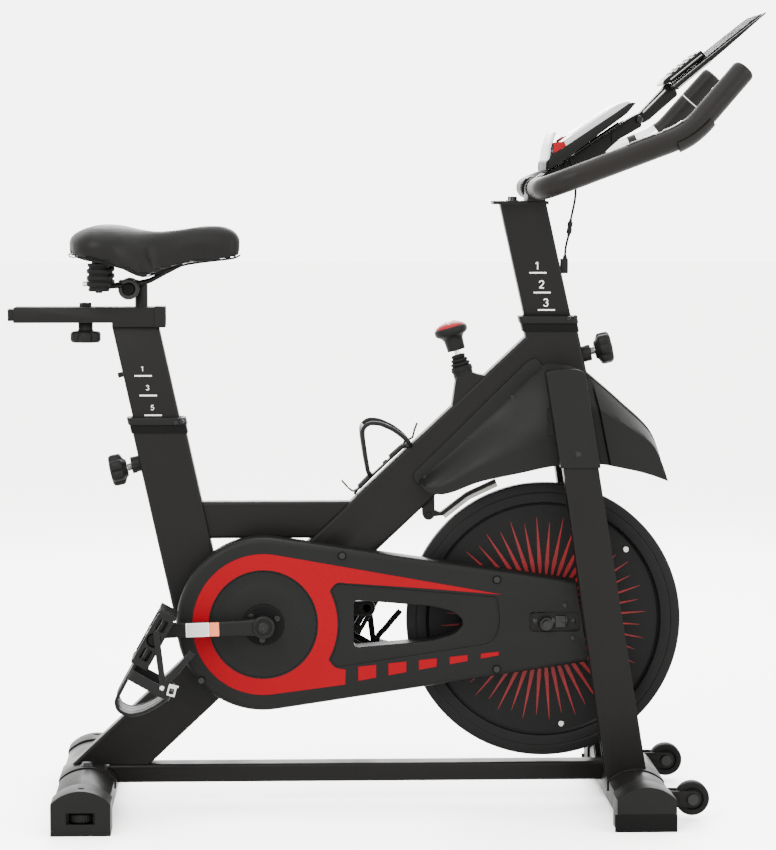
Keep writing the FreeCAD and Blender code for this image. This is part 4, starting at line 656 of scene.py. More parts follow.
def loft_loops(bm, loops):
    """Quads between outlines that have the same number of points; returns the rings of vertices."""
    rings = [[bm.verts.new((point[0] * MM, y * MM, point[1] * MM)) for point in loop] for loop, y in loops]
    bridge(bm, rings)
    return rings


def ring_edges(bm, ring):
    edges = []
    for first, second in zip(ring, ring[1:] + ring[:1]):
        edges.append(bm.edges.get((first, second)) or bm.edges.new((first, second)))
    return edges


def inset_loop(loop, distance):
    """Outline moved towards its inside by a distance, point by point."""
    points = [Vector(point) for point in loop]
    count = len(points)
    area = sum(points[n].x * points[(n + 1) % count].y - points[(n + 1) % count].x * points[n].y
               for n in range(count))
    side = 1 if area > 0 else -1
    result = []
    for number, point in enumerate(points):
        back = (point - points[number - 1]).normalized()
        ahead = (points[(number + 1) % count] - point).normalized()
        normal = Vector((-back.y - ahead.y, back.x + ahead.x)) * side
        normal.normalize()
        facing = max(0.5, normal.dot(Vector((-ahead.y, ahead.x)) * side))
        result.append(point + normal * distance / facing)
    return result


def add_case_shell():
    """Outer shell with a rounded rim, a shallow recess and a tunnel round the window."""
    bm = bmesh.new()
    rim = [(case_outline(0), CASE_SPLIT), (case_outline(0), -53.5), (case_outline(0.7), -56.8),
           (case_outline(2.6), -59.6), (case_outline(5.3), -61.4), (case_outline(8.5), CASE_FACE)]
    outer = loft_loops(bm, rim)
    recess = recess_outline()
    floor_y = CASE_FACE + 2.4
    sunk = loft_loops(bm, [(recess, CASE_FACE), (inset_loop(recess, 0.8), CASE_FACE + 0.5),
                           (inset_loop(recess, 1.6), floor_y)])
    window = eased(WINDOW, [7, 7, 10, 12, 12, 12, 10], steps=4)
    tunnel = loft_loops(bm, [(inset_loop(window, -2.6), floor_y), (inset_loop(window, -1.0), floor_y + 0.5),
                             (inset_loop(window, -0.1), floor_y + 1.8), (window, -24.0)])
    slot = eased(SLOT, 6)
    slot_wall = loft_loops(bm, [(inset_loop(slot, -1.2), CASE_FACE),
                                (inset_loop(slot, -0.3), CASE_FACE + 0.4),
                                (slot, CASE_FACE + 1.4), (slot, CASE_FACE + 14)])
    bm.faces.new(slot_wall[-1])
    steps = [(RING_INNER, 0), (RING_INNER - 1.2, 0.5), (RING_INNER - 2.2, 2.2), (62, 2.8), (60.5, 2.2),
             (36, 1.6), (10.5, 1.6)]
    dish = loft_loops(bm, [(crank_arc(radius, 0, 355, 71), CASE_FACE + depth) for radius, depth in steps])
    for edges in (ring_edges(bm, outer[-1]) + ring_edges(bm, sunk[0]) + ring_edges(bm, slot_wall[0])
                  + ring_edges(bm, dish[0]), ring_edges(bm, sunk[-1]) + ring_edges(bm, tunnel[0])):
        bmesh.ops.triangle_fill(bm, use_beauty=True, use_dissolve=False, edges=edges)
    shell = from_bmesh("belt_case_shell", bm, "case_plastic", "frame", "black_plastic", sharp=28)
    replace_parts(shell, "chain_case_outer")


def red_outline():
    """Red panel: a ring round the crank with an arm along the top and a short one below."""
    tip = (173.9, 320.4)
    first, _ = touching(tip, RING_OUTER, 1)
    foot = (-60.1, 187.3)
    last, _ = touching(foot, RING_OUTER, -1)
    outer = crank_arc(RING_OUTER, math.degrees(first), math.degrees(last) + 360, 60)
    edge = recess_outline(1.3)
    left = [point for point in edge if point.x < -64]
    return [Vector(tip)] + outer + [Vector(foot), Vector((-59.3, 209.5))], left


def add_red_panel():
    outer, left = red_outline()
    loop = outer + sorted(left, key=lambda point: point.y) + [Vector((-60, 338.9)), Vector((60, 330.4))]
    inner = crank_arc(RING_INNER + 0.6, 0, 355, 71)
    plate("red_case_panel", [metres(loop), metres(inner)], (CASE_FACE - 0.5) * MM, (CASE_FACE + 0.3) * MM,
          "red_panel", "frame", "red_plastic", bevel=0.2, segments=1)


def add_dashes():
    """Dashes along the lower edge, each lower than the one before."""
    def upper(x):
        return 214.0 + 0.1013 * (x + 40.8)

    def lower(x):
        return 192.8 + 0.177 * (x + 40.8)

    pieces = []
    start = -40.8
    width = 26.6
    for number in range(5):
        loop = [(start, lower(start)), (start + width, lower(start + width)),
                (start + width, upper(start + width)), (start, upper(start))]
        pieces.append(plate(f"dash_{number}", [metres(loop)], (CASE_FACE - 0.5) * MM, (CASE_FACE + 0.3) * MM,
                            "red_panel", "frame", "red_plastic", bevel=0.2, segments=1))
        start += 44.8 + number * 0.5
    join("red_case_dashes", pieces)


def add_case_details():
    """Hub cap with its three bolts, the screw wells whose darker colour is painted shade, the tensioner in
    the slot and two small screws.
    """
    hub = CRANK + mm(0, CASE_FACE, 0)
    cap = turned([(10.6, 1.2), (10.6, 3.4), (13, 4.0), (27, 3.6), (30.5, 2.4), (31, 0), (31, -3), (10.6, -3)],
                 0.8)
    lathe("case_hub_cap", cap, hub + mm(0, 1.6, 0), -Y_AXIS, "recess_plastic", "frame", "black_plastic",
          segments=72)
    head = turned([(0, 3.2), (2.2, 3.2), (2.2, 1.4), (2.3, 1.4), (2.3, 3.4), (4.4, 3.2), (4.9, 0), (0, 0)],
                  0.3)
    heads("case_hub_bolts", head, [(on_circle(hub, 22, 25 + 120 * number, -2.0),
                                    -Y_AXIS) for number in range(3)],
          "dark_steel", "frame", "bright_steel")
    rod_z = 279.5
    profile = [(0, 0)]
    for height in range(60):
        profile += [(3.0, height), (2.6, height + 0.5), (3.0, height + 1.0)]
    rod = lathe("tensioner_screw", profile + [(0, 60)], mm(219, -54, rod_z), X_AXIS, "bright_steel", "frame",
                "bright_steel", segments=16)
    nuts = []
    for x, width, reach in ((219, 7, 6.2), (247, 6, 7.0), (262, 9, 8.5), (277, 6, 6.2)):
        nuts.append(lathe(f"tensioner_nut_{x}", turned([(0, 0), (reach, 0), (reach, width), (0, width)], 0.8),
                          mm(x, -54, rod_z), X_AXIS, "dark_steel", "frame", "bright_steel", segments=6,
                          sharp=20))
    block = box("tensioner_block", mm(252, -61, rod_z - 9), mm(268, -50, rod_z + 9), "dark_steel", "frame",
                "bright_steel", bevel=1.2)
    join("belt_tensioner", [rod, block] + nuts)
    head = turned([(0, 1.0), (1.6, 1.0), (1.8, 2.0), (3.4, 1.7), (3.9, 0), (0, 0)], 0.3)
    heads("case_small_screws", head, [(mm(x, CASE_FACE, z), -Y_AXIS) for x, z in ((266, 304), (278, 255))],
          "dark_steel", "frame", "bright_steel", segments=20)
    # Shallow wells whose darker colour is painted shade for the recess round each screw.
    well = turned([(0, 1.2), (3.2, 1.2), (4.6, 2.4), (5.6, 2.7), (6.4, 0), (0, 0)], 0.3)
    spots = ((-64.6, 379.7), (-273.4, 194.5), (165, 343), (165, 209))
    heads("case_screw_wells_painted_shade", well, [(mm(x, CASE_FACE, z), -Y_AXIS) for x, z in spots], "recess_plastic",
          "frame",
          "black_plastic", segments=28)


add_case_shell()
add_red_panel()
add_dashes()
add_case_details()


# ---------------------------------------------------------------------------------------------
# Flywheel: rim, web, rays and bolts
# ---------------------------------------------------------------------------------------------
RAY_COUNT = 48
WEB_HALF = 2.9
RAY_TIPS = (154.0, 146.0)


def add_flywheel():
    """Rim with grooves either side, thin web and a stepped hub."""
    half = [(0, 20), (13, 20), (16, 19), (28, 19), (31.5, 17), (32, 6), (38, 3.4), (60, WEB_HALF),
            (160, WEB_HALF),
            (171.5, 3.3), (174.5, 5.5), (176.5, 10.2), (178.2, 11.0), (190, 11.0), (191.2, 10.3),
            (192.4, 11.0), (203.2, 11.0), (205.2, 10.0), (205.7, 8.6)]
    profile = half + [(radius, -height) for radius, height in reversed(half)]
    wheel = lathe("flywheel_casting", profile, WHEEL, -Y_AXIS, "flywheel_iron", "flywheel", segments=180,
                  sharp=30)
    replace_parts(wheel, "flywheel")
    rays = bmesh.new()
    for side in (-1, 1):
        for number in range(RAY_COUNT):
            angle = math.tau * (number + 0.5) / RAY_COUNT
            out = Vector((math.cos(angle), 0, math.sin(angle)))
            across = Vector((-math.sin(angle), 0, math.cos(angle)))
            y = side * (WEB_HALF + 0.35) * MM
            corners = [(58, 0.8), (84, 3.1), (RAY_TIPS[number % 2], 0.25)]
            ring = [out * radius * MM + across * width * MM for radius, width in corners]
            ring += [out * radius * MM - across * width * MM for radius, width in reversed(corners)]
            verts = [rays.verts.new(WHEEL + point + Y_AXIS * y) for point in ring]
            back = [rays.verts.new(WHEEL + point + Y_AXIS * (y - side * 0.6 * MM)) for point in ring]
            rays.faces.new(verts)
            rays.faces.new(back)
            for first in range(len(ring)):
                after = (first + 1) % len(ring)
                rays.faces.new((verts[first], verts[after], back[after], back[first]))
    from_bmesh("flywheel_rays", rays, "red_ray", "flywheel", "red_plastic")
    head = turned([(0, 1.6), (2.0, 1.6), (2.6, 2.6), (4.2, 2.2), (4.8, 0), (0, 0)], 0.4)
    heads("flywheel_bolts", head, [(on_circle(WHEEL, 162, 40 - 120 * number, side * WEB_HALF), Y_AXIS * side)
                                   for side in (-1, 1) for number in range(3)],
          "bright_steel", "flywheel", segments=20)


add_flywheel()


# ---------------------------------------------------------------------------------------------
# Saddle: padded skin, hem, rubber springs, clamp and slider
# ---------------------------------------------------------------------------------------------
# One station of the saddle: x, half width, height of the top, height of the lower edge, groove depth.
SADDLE_STATIONS = [
    (-467, 20, 838, 822, 0), (-463, 54, 849, 819, 0.5), (-451, 80, 858, 819, 1.5), (-433, 92, 864, 818, 2.5),
    (-412, 93, 866.5, 813, 3.2), (-392, 86, 865.5, 806, 3.6), (-373, 72, 862, 796, 3.8),
                   (-357, 58, 859, 790, 3.8),
    (-340, 46, 857.5, 793, 3.6), (-318, 39, 858.5, 800, 3.2), (-292, 34.5, 862, 807, 2.6),
    (-264, 31.5, 866, 811, 1.8), (-240, 29, 866, 813.5, 0.8), (-223, 24, 859, 816, 0),
                   (-214.5, 14, 848, 820, 0)]


def saddle_ring(station):
    """Closed section of the saddle: crowned top, rounded shoulder, tucked lower edge, hollow underside."""
    x, half, top, low, groove = station
    ring = []
    shoulders = 26
    for step in range(shoulders + 1):
        angle = math.pi * step / shoulders
        across = math.copysign(abs(math.cos(angle)) ** 0.78, math.cos(angle))
        lift = max(0.0, math.sin(angle)) ** 0.62
        dip = groove * math.exp(-(across * half / 11.0) ** 2)
        wide = half * across * (1.0 - 0.05 * (1 - lift))
        ring.append(mm(x, wide, low + (top - low) * lift - dip))
    under = low + min(7.0, (top - low) * 0.25)
    for share in (-0.82, -0.5, 0.0, 0.5, 0.82):
        ring.append(mm(x, half * share, under))
    return ring


def puff(item, cap, voxel=0.004, pressure=4.0):
    """Swell a padded skin by cloth pressure, no point further than the cap."""
    bpy.context.view_layer.objects.active = item
    remesh = item.modifiers.new("even", "REMESH")
    remesh.mode = "VOXEL"
    remesh.voxel_size = voxel
    start = [vertex.co.copy() for vertex in apply_modifiers(item).vertices]
    cloth = item.modifiers.new("swell", "CLOTH")
    cloth.settings.use_pressure = True
    cloth.settings.uniform_pressure_force = pressure
    cloth.settings.effector_weights.gravity = 0
    cloth.settings.tension_stiffness = 40
    cloth.settings.compression_stiffness = 40
    cloth.settings.bending_stiffness = 2
    cloth.point_cache.frame_start = 1
    cloth.point_cache.frame_end = 20
    scene = bpy.context.scene
    for number in range(1, 21):
        scene.frame_set(number)
    for vertex, before in zip(apply_modifiers(item).vertices, start):
        move = vertex.co - before
        if move.length > cap:
            vertex.co = before + move.normalized() * cap
    scene.frame_set(1)


def add_cushion():
    """Crowned vinyl skin over foam, from a lofted form that cloth pressure swells."""
    bm = bmesh.new()
    stations = curve_through_stations(SADDLE_STATIONS, 3)
    rings = [[bm.verts.new(point) for point in saddle_ring(station)] for station in stations]
    bridge(bm, rings)
    bm.faces.new(rings[0])
    bm.faces.new(rings[-1])
    bmesh.ops.recalc_face_normals(bm, faces=bm.faces)
    mesh = bpy.data.meshes.new("saddle_skin")
    bm.to_mesh(mesh)
    bm.free()
    skin = bpy.data.objects.new("saddle_skin", mesh)
    bpy.context.scene.collection.objects.link(skin)
    puff(skin, 2.5 * MM)
    final = skin.data
    bpy.data.objects.remove(skin)
    skin = settle("saddle_skin", final, "saddle_skin", "saddle", subdivisions=1, sharp=180)
    smooth_mesh(skin.data, 3)
    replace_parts(skin, "saddle_cushion")


def smooth_mesh(mesh, rounds):
    bm = bmesh.new()
    bm.from_mesh(mesh)
    for _ in range(rounds):
        bmesh.ops.smooth_vert(bm, verts=bm.verts, factor=0.5, use_axis_x=True, use_axis_y=True,
                              use_axis_z=True)
    bm.to_mesh(mesh)
    bm.free()


def curve_through_stations(stations, steps):
    """Stations with smooth ones in between."""
    result = []
    for number in range(len(stations) - 1):
        before = stations[max(0, number - 1)]
        first = stations[number]
        second = stations[number + 1]
        after = stations[min(len(stations) - 1, number + 2)]
        for step in range(steps):
            t = step / steps
            result.append(tuple(0.5 * (2 * b + (c - a) * t + (2 * a - 5 * b + 4 * c - d) * t * t
                                       + (3 * b - a - 3 * c + d) * t ** 3)
                                for a, b, c, d in zip(before, first, second, after)))
    result.append(stations[-1])
    return result


def add_saddle_piping():
    """Folded hem of the skin along its lower edge."""
    stations = curve_through_stations(SADDLE_STATIONS, 2)
    right = [mm(x, -half * 0.93, low + 2.4) for x, half, _, low, _ in stations]
    left = [Vector((point.x, -point.y, point.z)) for point in right]
    loop = right + list(reversed(left))
    sweep("saddle_hem", loop, circle(1.0 * MM, 10), Z_AXIS, "recess_plastic", "saddle", "black_rubber",
          closed=True,
          sharp=180)


SPRING_RADIUS = 18


def add_saddle_springs():
    low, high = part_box("saddle_springs")
    places = [Vector(((low.x + high.x) / 2, side * (high.y - SPRING_RADIUS * MM),
                      low.z)) for side in SIDES.values()]
    ribs = [(0, 0), (14, 0), (15.5, 1.2), (15.5, 4.2), (14.6, 5), (14.6, 6.6), (17.2, 7.6), (17.9, 9),
            (17.9, 12.4), (17.2, 13.6), (15.4, 14.4), (15.4, 15.6), (17.2, 16.6), (17.9, 18),
            (17.9, 21.6), (17.2, 23), (15.2, 23.8), (15.2, 25.8), (17.4, 26.8), (17.9, 28.2),
            (17.9, 31.4), (17.2, 32.8), (15.0, 33.6), (15.0, 36), (16.4, 37), (16.8, 41), (0, 42)]
    bolt = turned([(0, 0), (5.2, 0), (5.2, 3.2), (0, 3.2)], 0.5)
    pieces = []
    for foot in places:
        pieces.append(lathe("spring", ribs, foot, Z_AXIS, "black_rubber", "saddle", segments=48, sharp=50))
        pieces.append(lathe("spring_bolt", bolt, foot - mm(0, 0, 2.4), Z_AXIS, "black_rubber", "saddle",
                            segments=6, sharp=20))
    join("saddle_spring_pieces", pieces, ["saddle_springs"])
    tip = turned([(0, 0), (3.0, 0), (3.6, 1), (3.6, 9), (0, 9)], 0.5)
    heads("saddle_rail_tips", tip, [(Vector((low.x - 6 * MM, foot.y, low.z + 11 * MM)),
                                     X_AXIS) for foot in places],
          "bright_steel", "saddle", segments=20)


def add_saddle_clamp():
    """Serrated discs and their bolts; the CAD clamp stays under them."""
    tilt = joint_point("saddle_tilt")
    _, clamp_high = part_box("saddle_clamp")

    def teeth(angle, radius, height):
        return radius + (0.5 * math.cos(30 * angle) if radius > 14.5 else 0)

    disc = [(0, 0), (9, 0), (9.6, 0.4), (13, 0.4), (15.6, -0.4), (15.8, -2), (15.8, -5), (14, -5.5),
            (0, -5.5)]
    nut = turned([(0, 5.6), (3.4, 5.6), (3.4, 3.6), (3.6, 3.6), (3.6, 5.8), (7.2, 5.6), (7.9, 4.6), (7.9, 0),
                  (0, 0)], 0.3)
    places = [(Vector((tilt.x, (clamp_high.y - 5 * MM) * side, tilt.z)),
               Y_AXIS * side) for side in SIDES.values()]
    heads("saddle_tilt_discs", disc, places, "dark_steel", "saddle", "black_paint", segments=120, shape=teeth)
    heads("saddle_tilt_nuts", nut, places, "recess_plastic", "saddle", "black_paint", segments=6, sharp=20)


add_cushion()
add_saddle_piping()
add_saddle_springs()
add_saddle_clamp()
soften("saddle_clamp", 0.8)
soften("seat_slider", 1.0)
soften("seat_rail", 1.0)


def add_slider_ends():
    """Moulded end plugs of the slider and of its channel."""
    low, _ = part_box("seat_slider")
    bar_top = low.z + 17.4 * MM
    rail_low, rail_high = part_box("seat_rail")
    box("slider_rear_plug", (low.x, -18.2 * MM, low.z + 0.2 * MM),
        (low.x + 9 * MM, 18.2 * MM, bar_top - 0.6 * MM),
        "black_plastic", "seat_slider", bevel=2.0, segments=3)
    middle = (rail_low + rail_high) / 2
    half = (rail_high - rail_low) / 2
    outline = eased([(-half.y, -half.z), (half.y, -half.z), (half.y, half.z), (-half.y, half.z)], 3 * MM)
    path = [Vector((rail_high.x - 5 * MM, middle.y + point.x, middle.z + point.y)) for point in outline]
    sweep("rail_front_collar", path, bar_section(1.1, 8, 0.7), X_AXIS, "black_plastic", "seat_post",
          closed=True)
    box("rail_rear_plug", (rail_low.x - 1.0 * MM, rail_low.y + 2.8 * MM, rail_low.z + 6.6 * MM),
        (rail_low.x + 3 * MM, rail_low.y + 4.2 * MM, rail_low.z + 9 * MM), "black_plastic", "seat_post",
        bevel=0.3)


add_slider_ends()


# ---------------------------------------------------------------------------------------------
# Frame tubes, plates and feet
# ---------------------------------------------------------------------------------------------
for node, width in (("fork", 5.0), ("dropout_plates", 0.8), ("base_tube", 1.0), ("stabiliser_brackets", 0.8),
                    ("rear_stabiliser", 1.5), ("front_stabiliser", 1.5), ("foot_caps", 3.0),
                    ("brake_mounts", 0.8),
                    ("brake_arm", 0.6), ("brake_pad", 0.6)):
    soften(node, width, segments=4 if width > 2 else 2)


def add_levellers():
    for side_name in SIDES:
        node = "leveller_" + side_name
        low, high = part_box(node)
        centre = Vector(((low.x + high.x) / 2, (low.y + high.y) / 2, 0))

        def grip(angle, radius, height):
            if radius <= 17 or not 18 < height < 30:
                return radius
            return radius - 0.8 * (0.5 + 0.5 * math.cos(28 * angle))

        profile = turned([(0, 2), (13, 2), (13, 7.5), (6, 8.5), (6, 18), (16.5, 18), (17.9, 19.5), (17.9, 29),
                          (16.5, 30.5), (5.2, 31), (4.9, 31), (4.9, 60), (4.2, 62), (0, 62)], 0.5)
        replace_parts(lathe(node + "_wheel", profile, centre, Z_AXIS, "black_plastic", node, segments=168,
                          shape=grip), node)


def add_rollers():
    for side_name in SIDES:
        node = "transport_wheel_" + side_name
        centre = joint_point(node + "_spin")
        half = [(4.6, 11), (8, 11), (9, 10.2), (10.5, 7), (15.5, 7), (16.5, 10.4), (22, 10.8), (24, 9.8),
                (25, 7.4)]
        profile = half + [(radius, -height) for radius, height in reversed(half)]
        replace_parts(lathe(node + "_tyre", profile + [half[0]], centre, Y_AXIS, "black_rubber", node,
                          segments=72, sharp=30), node)
        cap = turned([(4.8, 0), (7.4, 0), (7.4, 1.6), (4.8, 2.0)], 0.3)
        places = [(centre + Y_AXIS * face * 9.3 * MM, Y_AXIS * face) for face in (-1, 1)]
        heads(node + "_hub_caps", cap, places, "recess_plastic", node, "black_rubber", segments=36)


def add_foot_bolts():
    """Domed heads over the plain bolts, with their washers."""
    head = turned([(0, 5.4), (3.4, 5.4), (3.4, 3.4), (3.6, 3.4), (3.6, 5.6), (6.6, 5.0), (8.6, 2.6),
                   (8.8, 1.2),
                   (10.6, 1.0), (10.8, -0.6), (0, -0.6)], 0.4)
    spots = ((-443, -38), (-443, 38), (369, -34), (369, 34))
    heads("foot_bolt_heads", head, [(mm(x, y, 64.5), Z_AXIS) for x, y in spots], "dark_steel", "frame",
          "bright_steel", segments=36)


add_levellers()
add_rollers()
add_foot_bolts()


# ---------------------------------------------------------------------------------------------
# Knobs
# ---------------------------------------------------------------------------------------------
def lobed(lobes, depth, low, high):
    """Radius function for a knob with round lobes between two heights."""
    def shape(angle, radius, height):
        if not low <= height <= high or radius < 15:
            return radius
        wave = 0.5 - 0.5 * math.cos(lobes * angle)
        return radius * (1 - depth * (1 - wave ** 0.35))
    return shape


KNOB_LENGTH = 26.0
# From the inner end of a pin to the outer face of its boss.
BOSS_END = 13 + 39 - 34.6


def pin_line(node, direction):
    """Outward direction of a pop pin, the foot of its axis, and where it starts and ends along it."""
    low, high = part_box(node)
    outward = POST_FORWARD * direction
    middle = (low + high) / 2
    reach = [vertex.co.dot(outward) for vertex in frame["nodes"][node].data.vertices]
    return outward, middle - outward * middle.dot(outward), min(reach), max(reach)


def add_pull_knob(node, direction):
    """Knob and threaded rod of a pop pin."""
    outward, spine, start, tip = pin_line(node, direction)
    profile = [(0, 0), (12, 0), (13, 0.8), (14.5, 3.0), (21.5, 6.2), (23.2, 7.6), (23.9, 10), (23.9, 20),
               (23.0, 23.4), (20.5, 25.2), (12, 25.9), (8.5, 25.6), (8.0, 24.9), (0, 24.9)]
    knob = lathe(node + "_knob", profile, spine + outward * (tip - KNOB_LENGTH * MM), outward,
                 "black_plastic",
                 node, segments=120, shape=lobed(7, 0.16, 4, 25.5), sharp=50)
    rod = []
    height = 0.0
    length = (tip - KNOB_LENGTH * MM - start) / MM
    while height < length - 0.6:
        rod += [(5.9, height), (5.4, height + 0.55)]
        height += 1.1
    rod = [(0, 0)] + rod + [(5.9, length), (5.9, length + 2), (0, length + 2)]
    lathe(node + "_rod", rod, spine + outward * start, outward, "bright_steel", node, "black_plastic",
          segments=32)
    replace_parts(knob, node)


def add_rail_knob():
    low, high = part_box("rail_knob")
    centre = Vector(((low.x + high.x) / 2, (low.y + high.y) / 2, low.z))
    profile = [(0, 0.4), (9, 0.4), (10, 0), (20, 0.3), (22.8, 1.8), (23.9, 4.4), (23.9, 12.6), (22.8, 15.4),
               (20, 16.8),
               (13, 17.4), (11.2, 18.4), (10.8, 20), (10.8, 28.6), (9.8, 29.6), (5.0, 29.6)]
    knob = lathe("rail_knob_grip", profile + [(0, 29.6)], centre, Z_AXIS, "black_plastic", "rail_knob",
                 segments=120, shape=lobed(6, 0.17, 1, 17), sharp=50)
    top = (high.z - low.z) / MM
    stem = turned([(0, 29), (5.0, 29), (5.0, top - 9), (0, top - 9)], 0.2)
    lathe("rail_knob_shank", stem, centre, Z_AXIS, "bright_steel", "rail_knob", segments=28)
    head = turned([(0, top - 9), (9, top - 9), (9, top), (0, top)], 1.2)
    lathe("rail_tee_head", head, centre, Z_AXIS, "black_plastic", "rail_knob", segments=6, sharp=20)
    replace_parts(knob, "rail_knob")


add_pull_knob("seat_pin", -1)
add_pull_knob("handlebar_pin", 1)
add_rail_knob()


def add_pin_nuts():
    """Hexagon guide nut on each boss of the pop pins."""
    loop = [(10.5, -7), (12.0, -6.4), (12.0, -0.6), (11.2, 0.2), (6.3, 0.2), (6.3, -7)]
    for node, direction in (("seat_pin", -1), ("handlebar_pin", 1)):
        outward, spine, start, _ = pin_line(node, direction)
        lathe(node + "_guide", loop + [loop[0]], spine + outward * (start + BOSS_END * MM), outward,
              "dark_steel",
              "frame", "bright_steel", segments=6, sharp=20)


# ---------------------------------------------------------------------------------------------
# Brake knob, boot and gusset
# ---------------------------------------------------------------------------------------------
BRAKE_DOWN = joint_axis("brake_rod_push")
BRAKE_TOP = joint_point("brake_knob_turn")


def add_brake_knob():
    """Mushroom knob with a red cap."""
    base = [(4.1, 44), (13.0, 44), (13.5, 43.2), (13.9, 33), (14.6, 27), (17.5, 22.5), (22.5, 19.6),
            (24.6, 17), (25.0, 13.6),
            (24.6, 10.4), (23.0, 8.4), (21.4, 7.6), (4.1, 7.6)]
    knob = lathe("brake_knob_body", base + [base[0]], BRAKE_TOP, BRAKE_DOWN, "black_plastic", "brake_knob",
                 segments=72, sharp=40)
    cap = [(0, 0.2), (6, 0.5), (12, 1.6), (17, 3.5), (20.6, 5.8), (22.2, 7.9), (22.4, 9.2), (0, 9.2)]
    lathe("brake_knob_cap", cap, BRAKE_TOP, BRAKE_DOWN, "red_plastic", "brake_knob", segments=72, sharp=40)
    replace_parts(knob, "brake_knob")
    grooves = []
    side = BRAKE_DOWN.cross(Y_AXIS).normalized()
    for number in range(3):
        turn = math.tau * number / 3
        path = []
        for step in range(9):
            reach = 5 + 12 * step / 8
            drop = 0.2 + 7.0 * (reach / 22.4) ** 2.2 - 0.35
            angle = turn + 0.5 * step / 8
            path.append(BRAKE_TOP + (side * math.cos(angle) + Y_AXIS * math.sin(angle)) * reach * MM
                        + BRAKE_DOWN * drop * MM)
        grooves.append(sweep(f"cap_groove_{number}", path, circle(0.7 * MM, 8), BRAKE_DOWN, "grey_label",
                             "brake_knob", "black_plastic", sharp=180))
    join("brake_cap_marks", grooves)


def add_brake_boot():
    """Ribbed boot round the rod, on a gusset on the main tube."""
    ribs = [(4.6, 50.6), (7.5, 50.6), (9.5, 51.4), (10.6, 53.2), (10.2, 55.2), (9.0, 56.0), (10.4, 57.0),
            (12.6, 58.2),
            (12.8, 60), (11.6, 61.2), (10.8, 61.8), (12.4, 62.8), (14.6, 64), (14.8, 65.8), (13.6, 67),
            (12.6, 67.6), (14.4, 68.8), (15.8, 70), (16.2, 76), (4.6, 76)]
    lathe("brake_boot", ribs + [ribs[0]], BRAKE_TOP, BRAKE_DOWN, "black_rubber", "frame", segments=60,
          sharp=60)
    outline = [(99, 586), (107, 641), (130, 649), (137, 646), (152, 643), (150, 620), (120, 586)]
    loop = eased([Vector(point) for point in outline], [2, 3, 5, 6, 1, 1, 1])
    plate("brake_gusset", [metres(loop)], -17 * MM, 17 * MM, "black_paint", "frame", bevel=5, segments=4)


add_brake_knob()
add_brake_boot()
add_pin_nuts()


# ---------------------------------------------------------------------------------------------
# Handlebar: foam, pulse plates, clamp
# ---------------------------------------------------------------------------------------------
BAR = (224, 922)
BAR_CORNER = (431, 182, 1000)
BAR_END = (510, 165, 1090)
GRIP_START_Y = 62


def rounded(points, radii, steps=10):
    """Line whose corners are true arcs of the given radii."""
    line = [Vector(point) for point in points]
    result = [line[0]]
    for before, corner, after, radius in zip(line, line[1:], line[2:], radii):
        back = (before - corner).normalized()
        ahead = (after - corner).normalized()
        half = back.angle(ahead) / 2
        start = corner + back * radius / math.tan(half)
        centre = corner + (back + ahead).normalized() * radius / math.sin(half)
        spoke = start - centre
        turn = back.cross(spoke)
        for step in range(steps + 1):
            result.append(centre + Matrix.Rotation((math.pi - 2 * half) * step / steps, 3, turn) @ spoke)
    return result + [line[-1]]


def run_between(path, start, end, step=3.0):
    """Part of a line between two lengths along it, in even steps, with its headings."""
    pieces = []
    reached = 0.0
    for first, second in zip(path, path[1:]):
        pieces.append((reached, first, second))
        reached += (second - first).length
    count = max(2, round((end - start) / step))
    result = []
    for number in range(count + 1):
        wanted = start + (end - start) * number / count
        base, first, second = [piece for piece in pieces if piece[0] <= wanted + 1e-6][-1]
        result.append(first + (second - first).normalized() * (wanted - base))
    return result, reached


def bar_path(side):
    """Centre line of one half of the bar from the middle outwards, in millimetres."""
    end = Vector((BAR_END[0], side * BAR_END[1], BAR_END[2]))
    corner = Vector((BAR_CORNER[0], side * BAR_CORNER[1], BAR_CORNER[2]))
    return rounded([(BAR[0], side * GRIP_START_Y, BAR[1]), (BAR[0], side * 190, BAR[1]), corner, end],
                   [48, 110])


def arc_band(name, path, side, outer, inner, low, high, finish, body, slot):
    """Part of a sleeve round the bar; the angles are measured from the inner side upwards."""
    count = 14
    angles = [math.radians(low + (high - low) * step / count) for step in range(count + 1)]
    section = [(-side * math.cos(angle) * outer * MM, math.sin(angle) * outer * MM) for angle in angles]
    section += [(-side * math.cos(angle) * inner * MM, math.sin(angle) * inner * MM)
                for angle in reversed(angles)]
    flipped = [(-across, up) for across, up in section]
    return sweep(name, [point * MM for point in path], flipped, Z_AXIS, finish, body, slot)


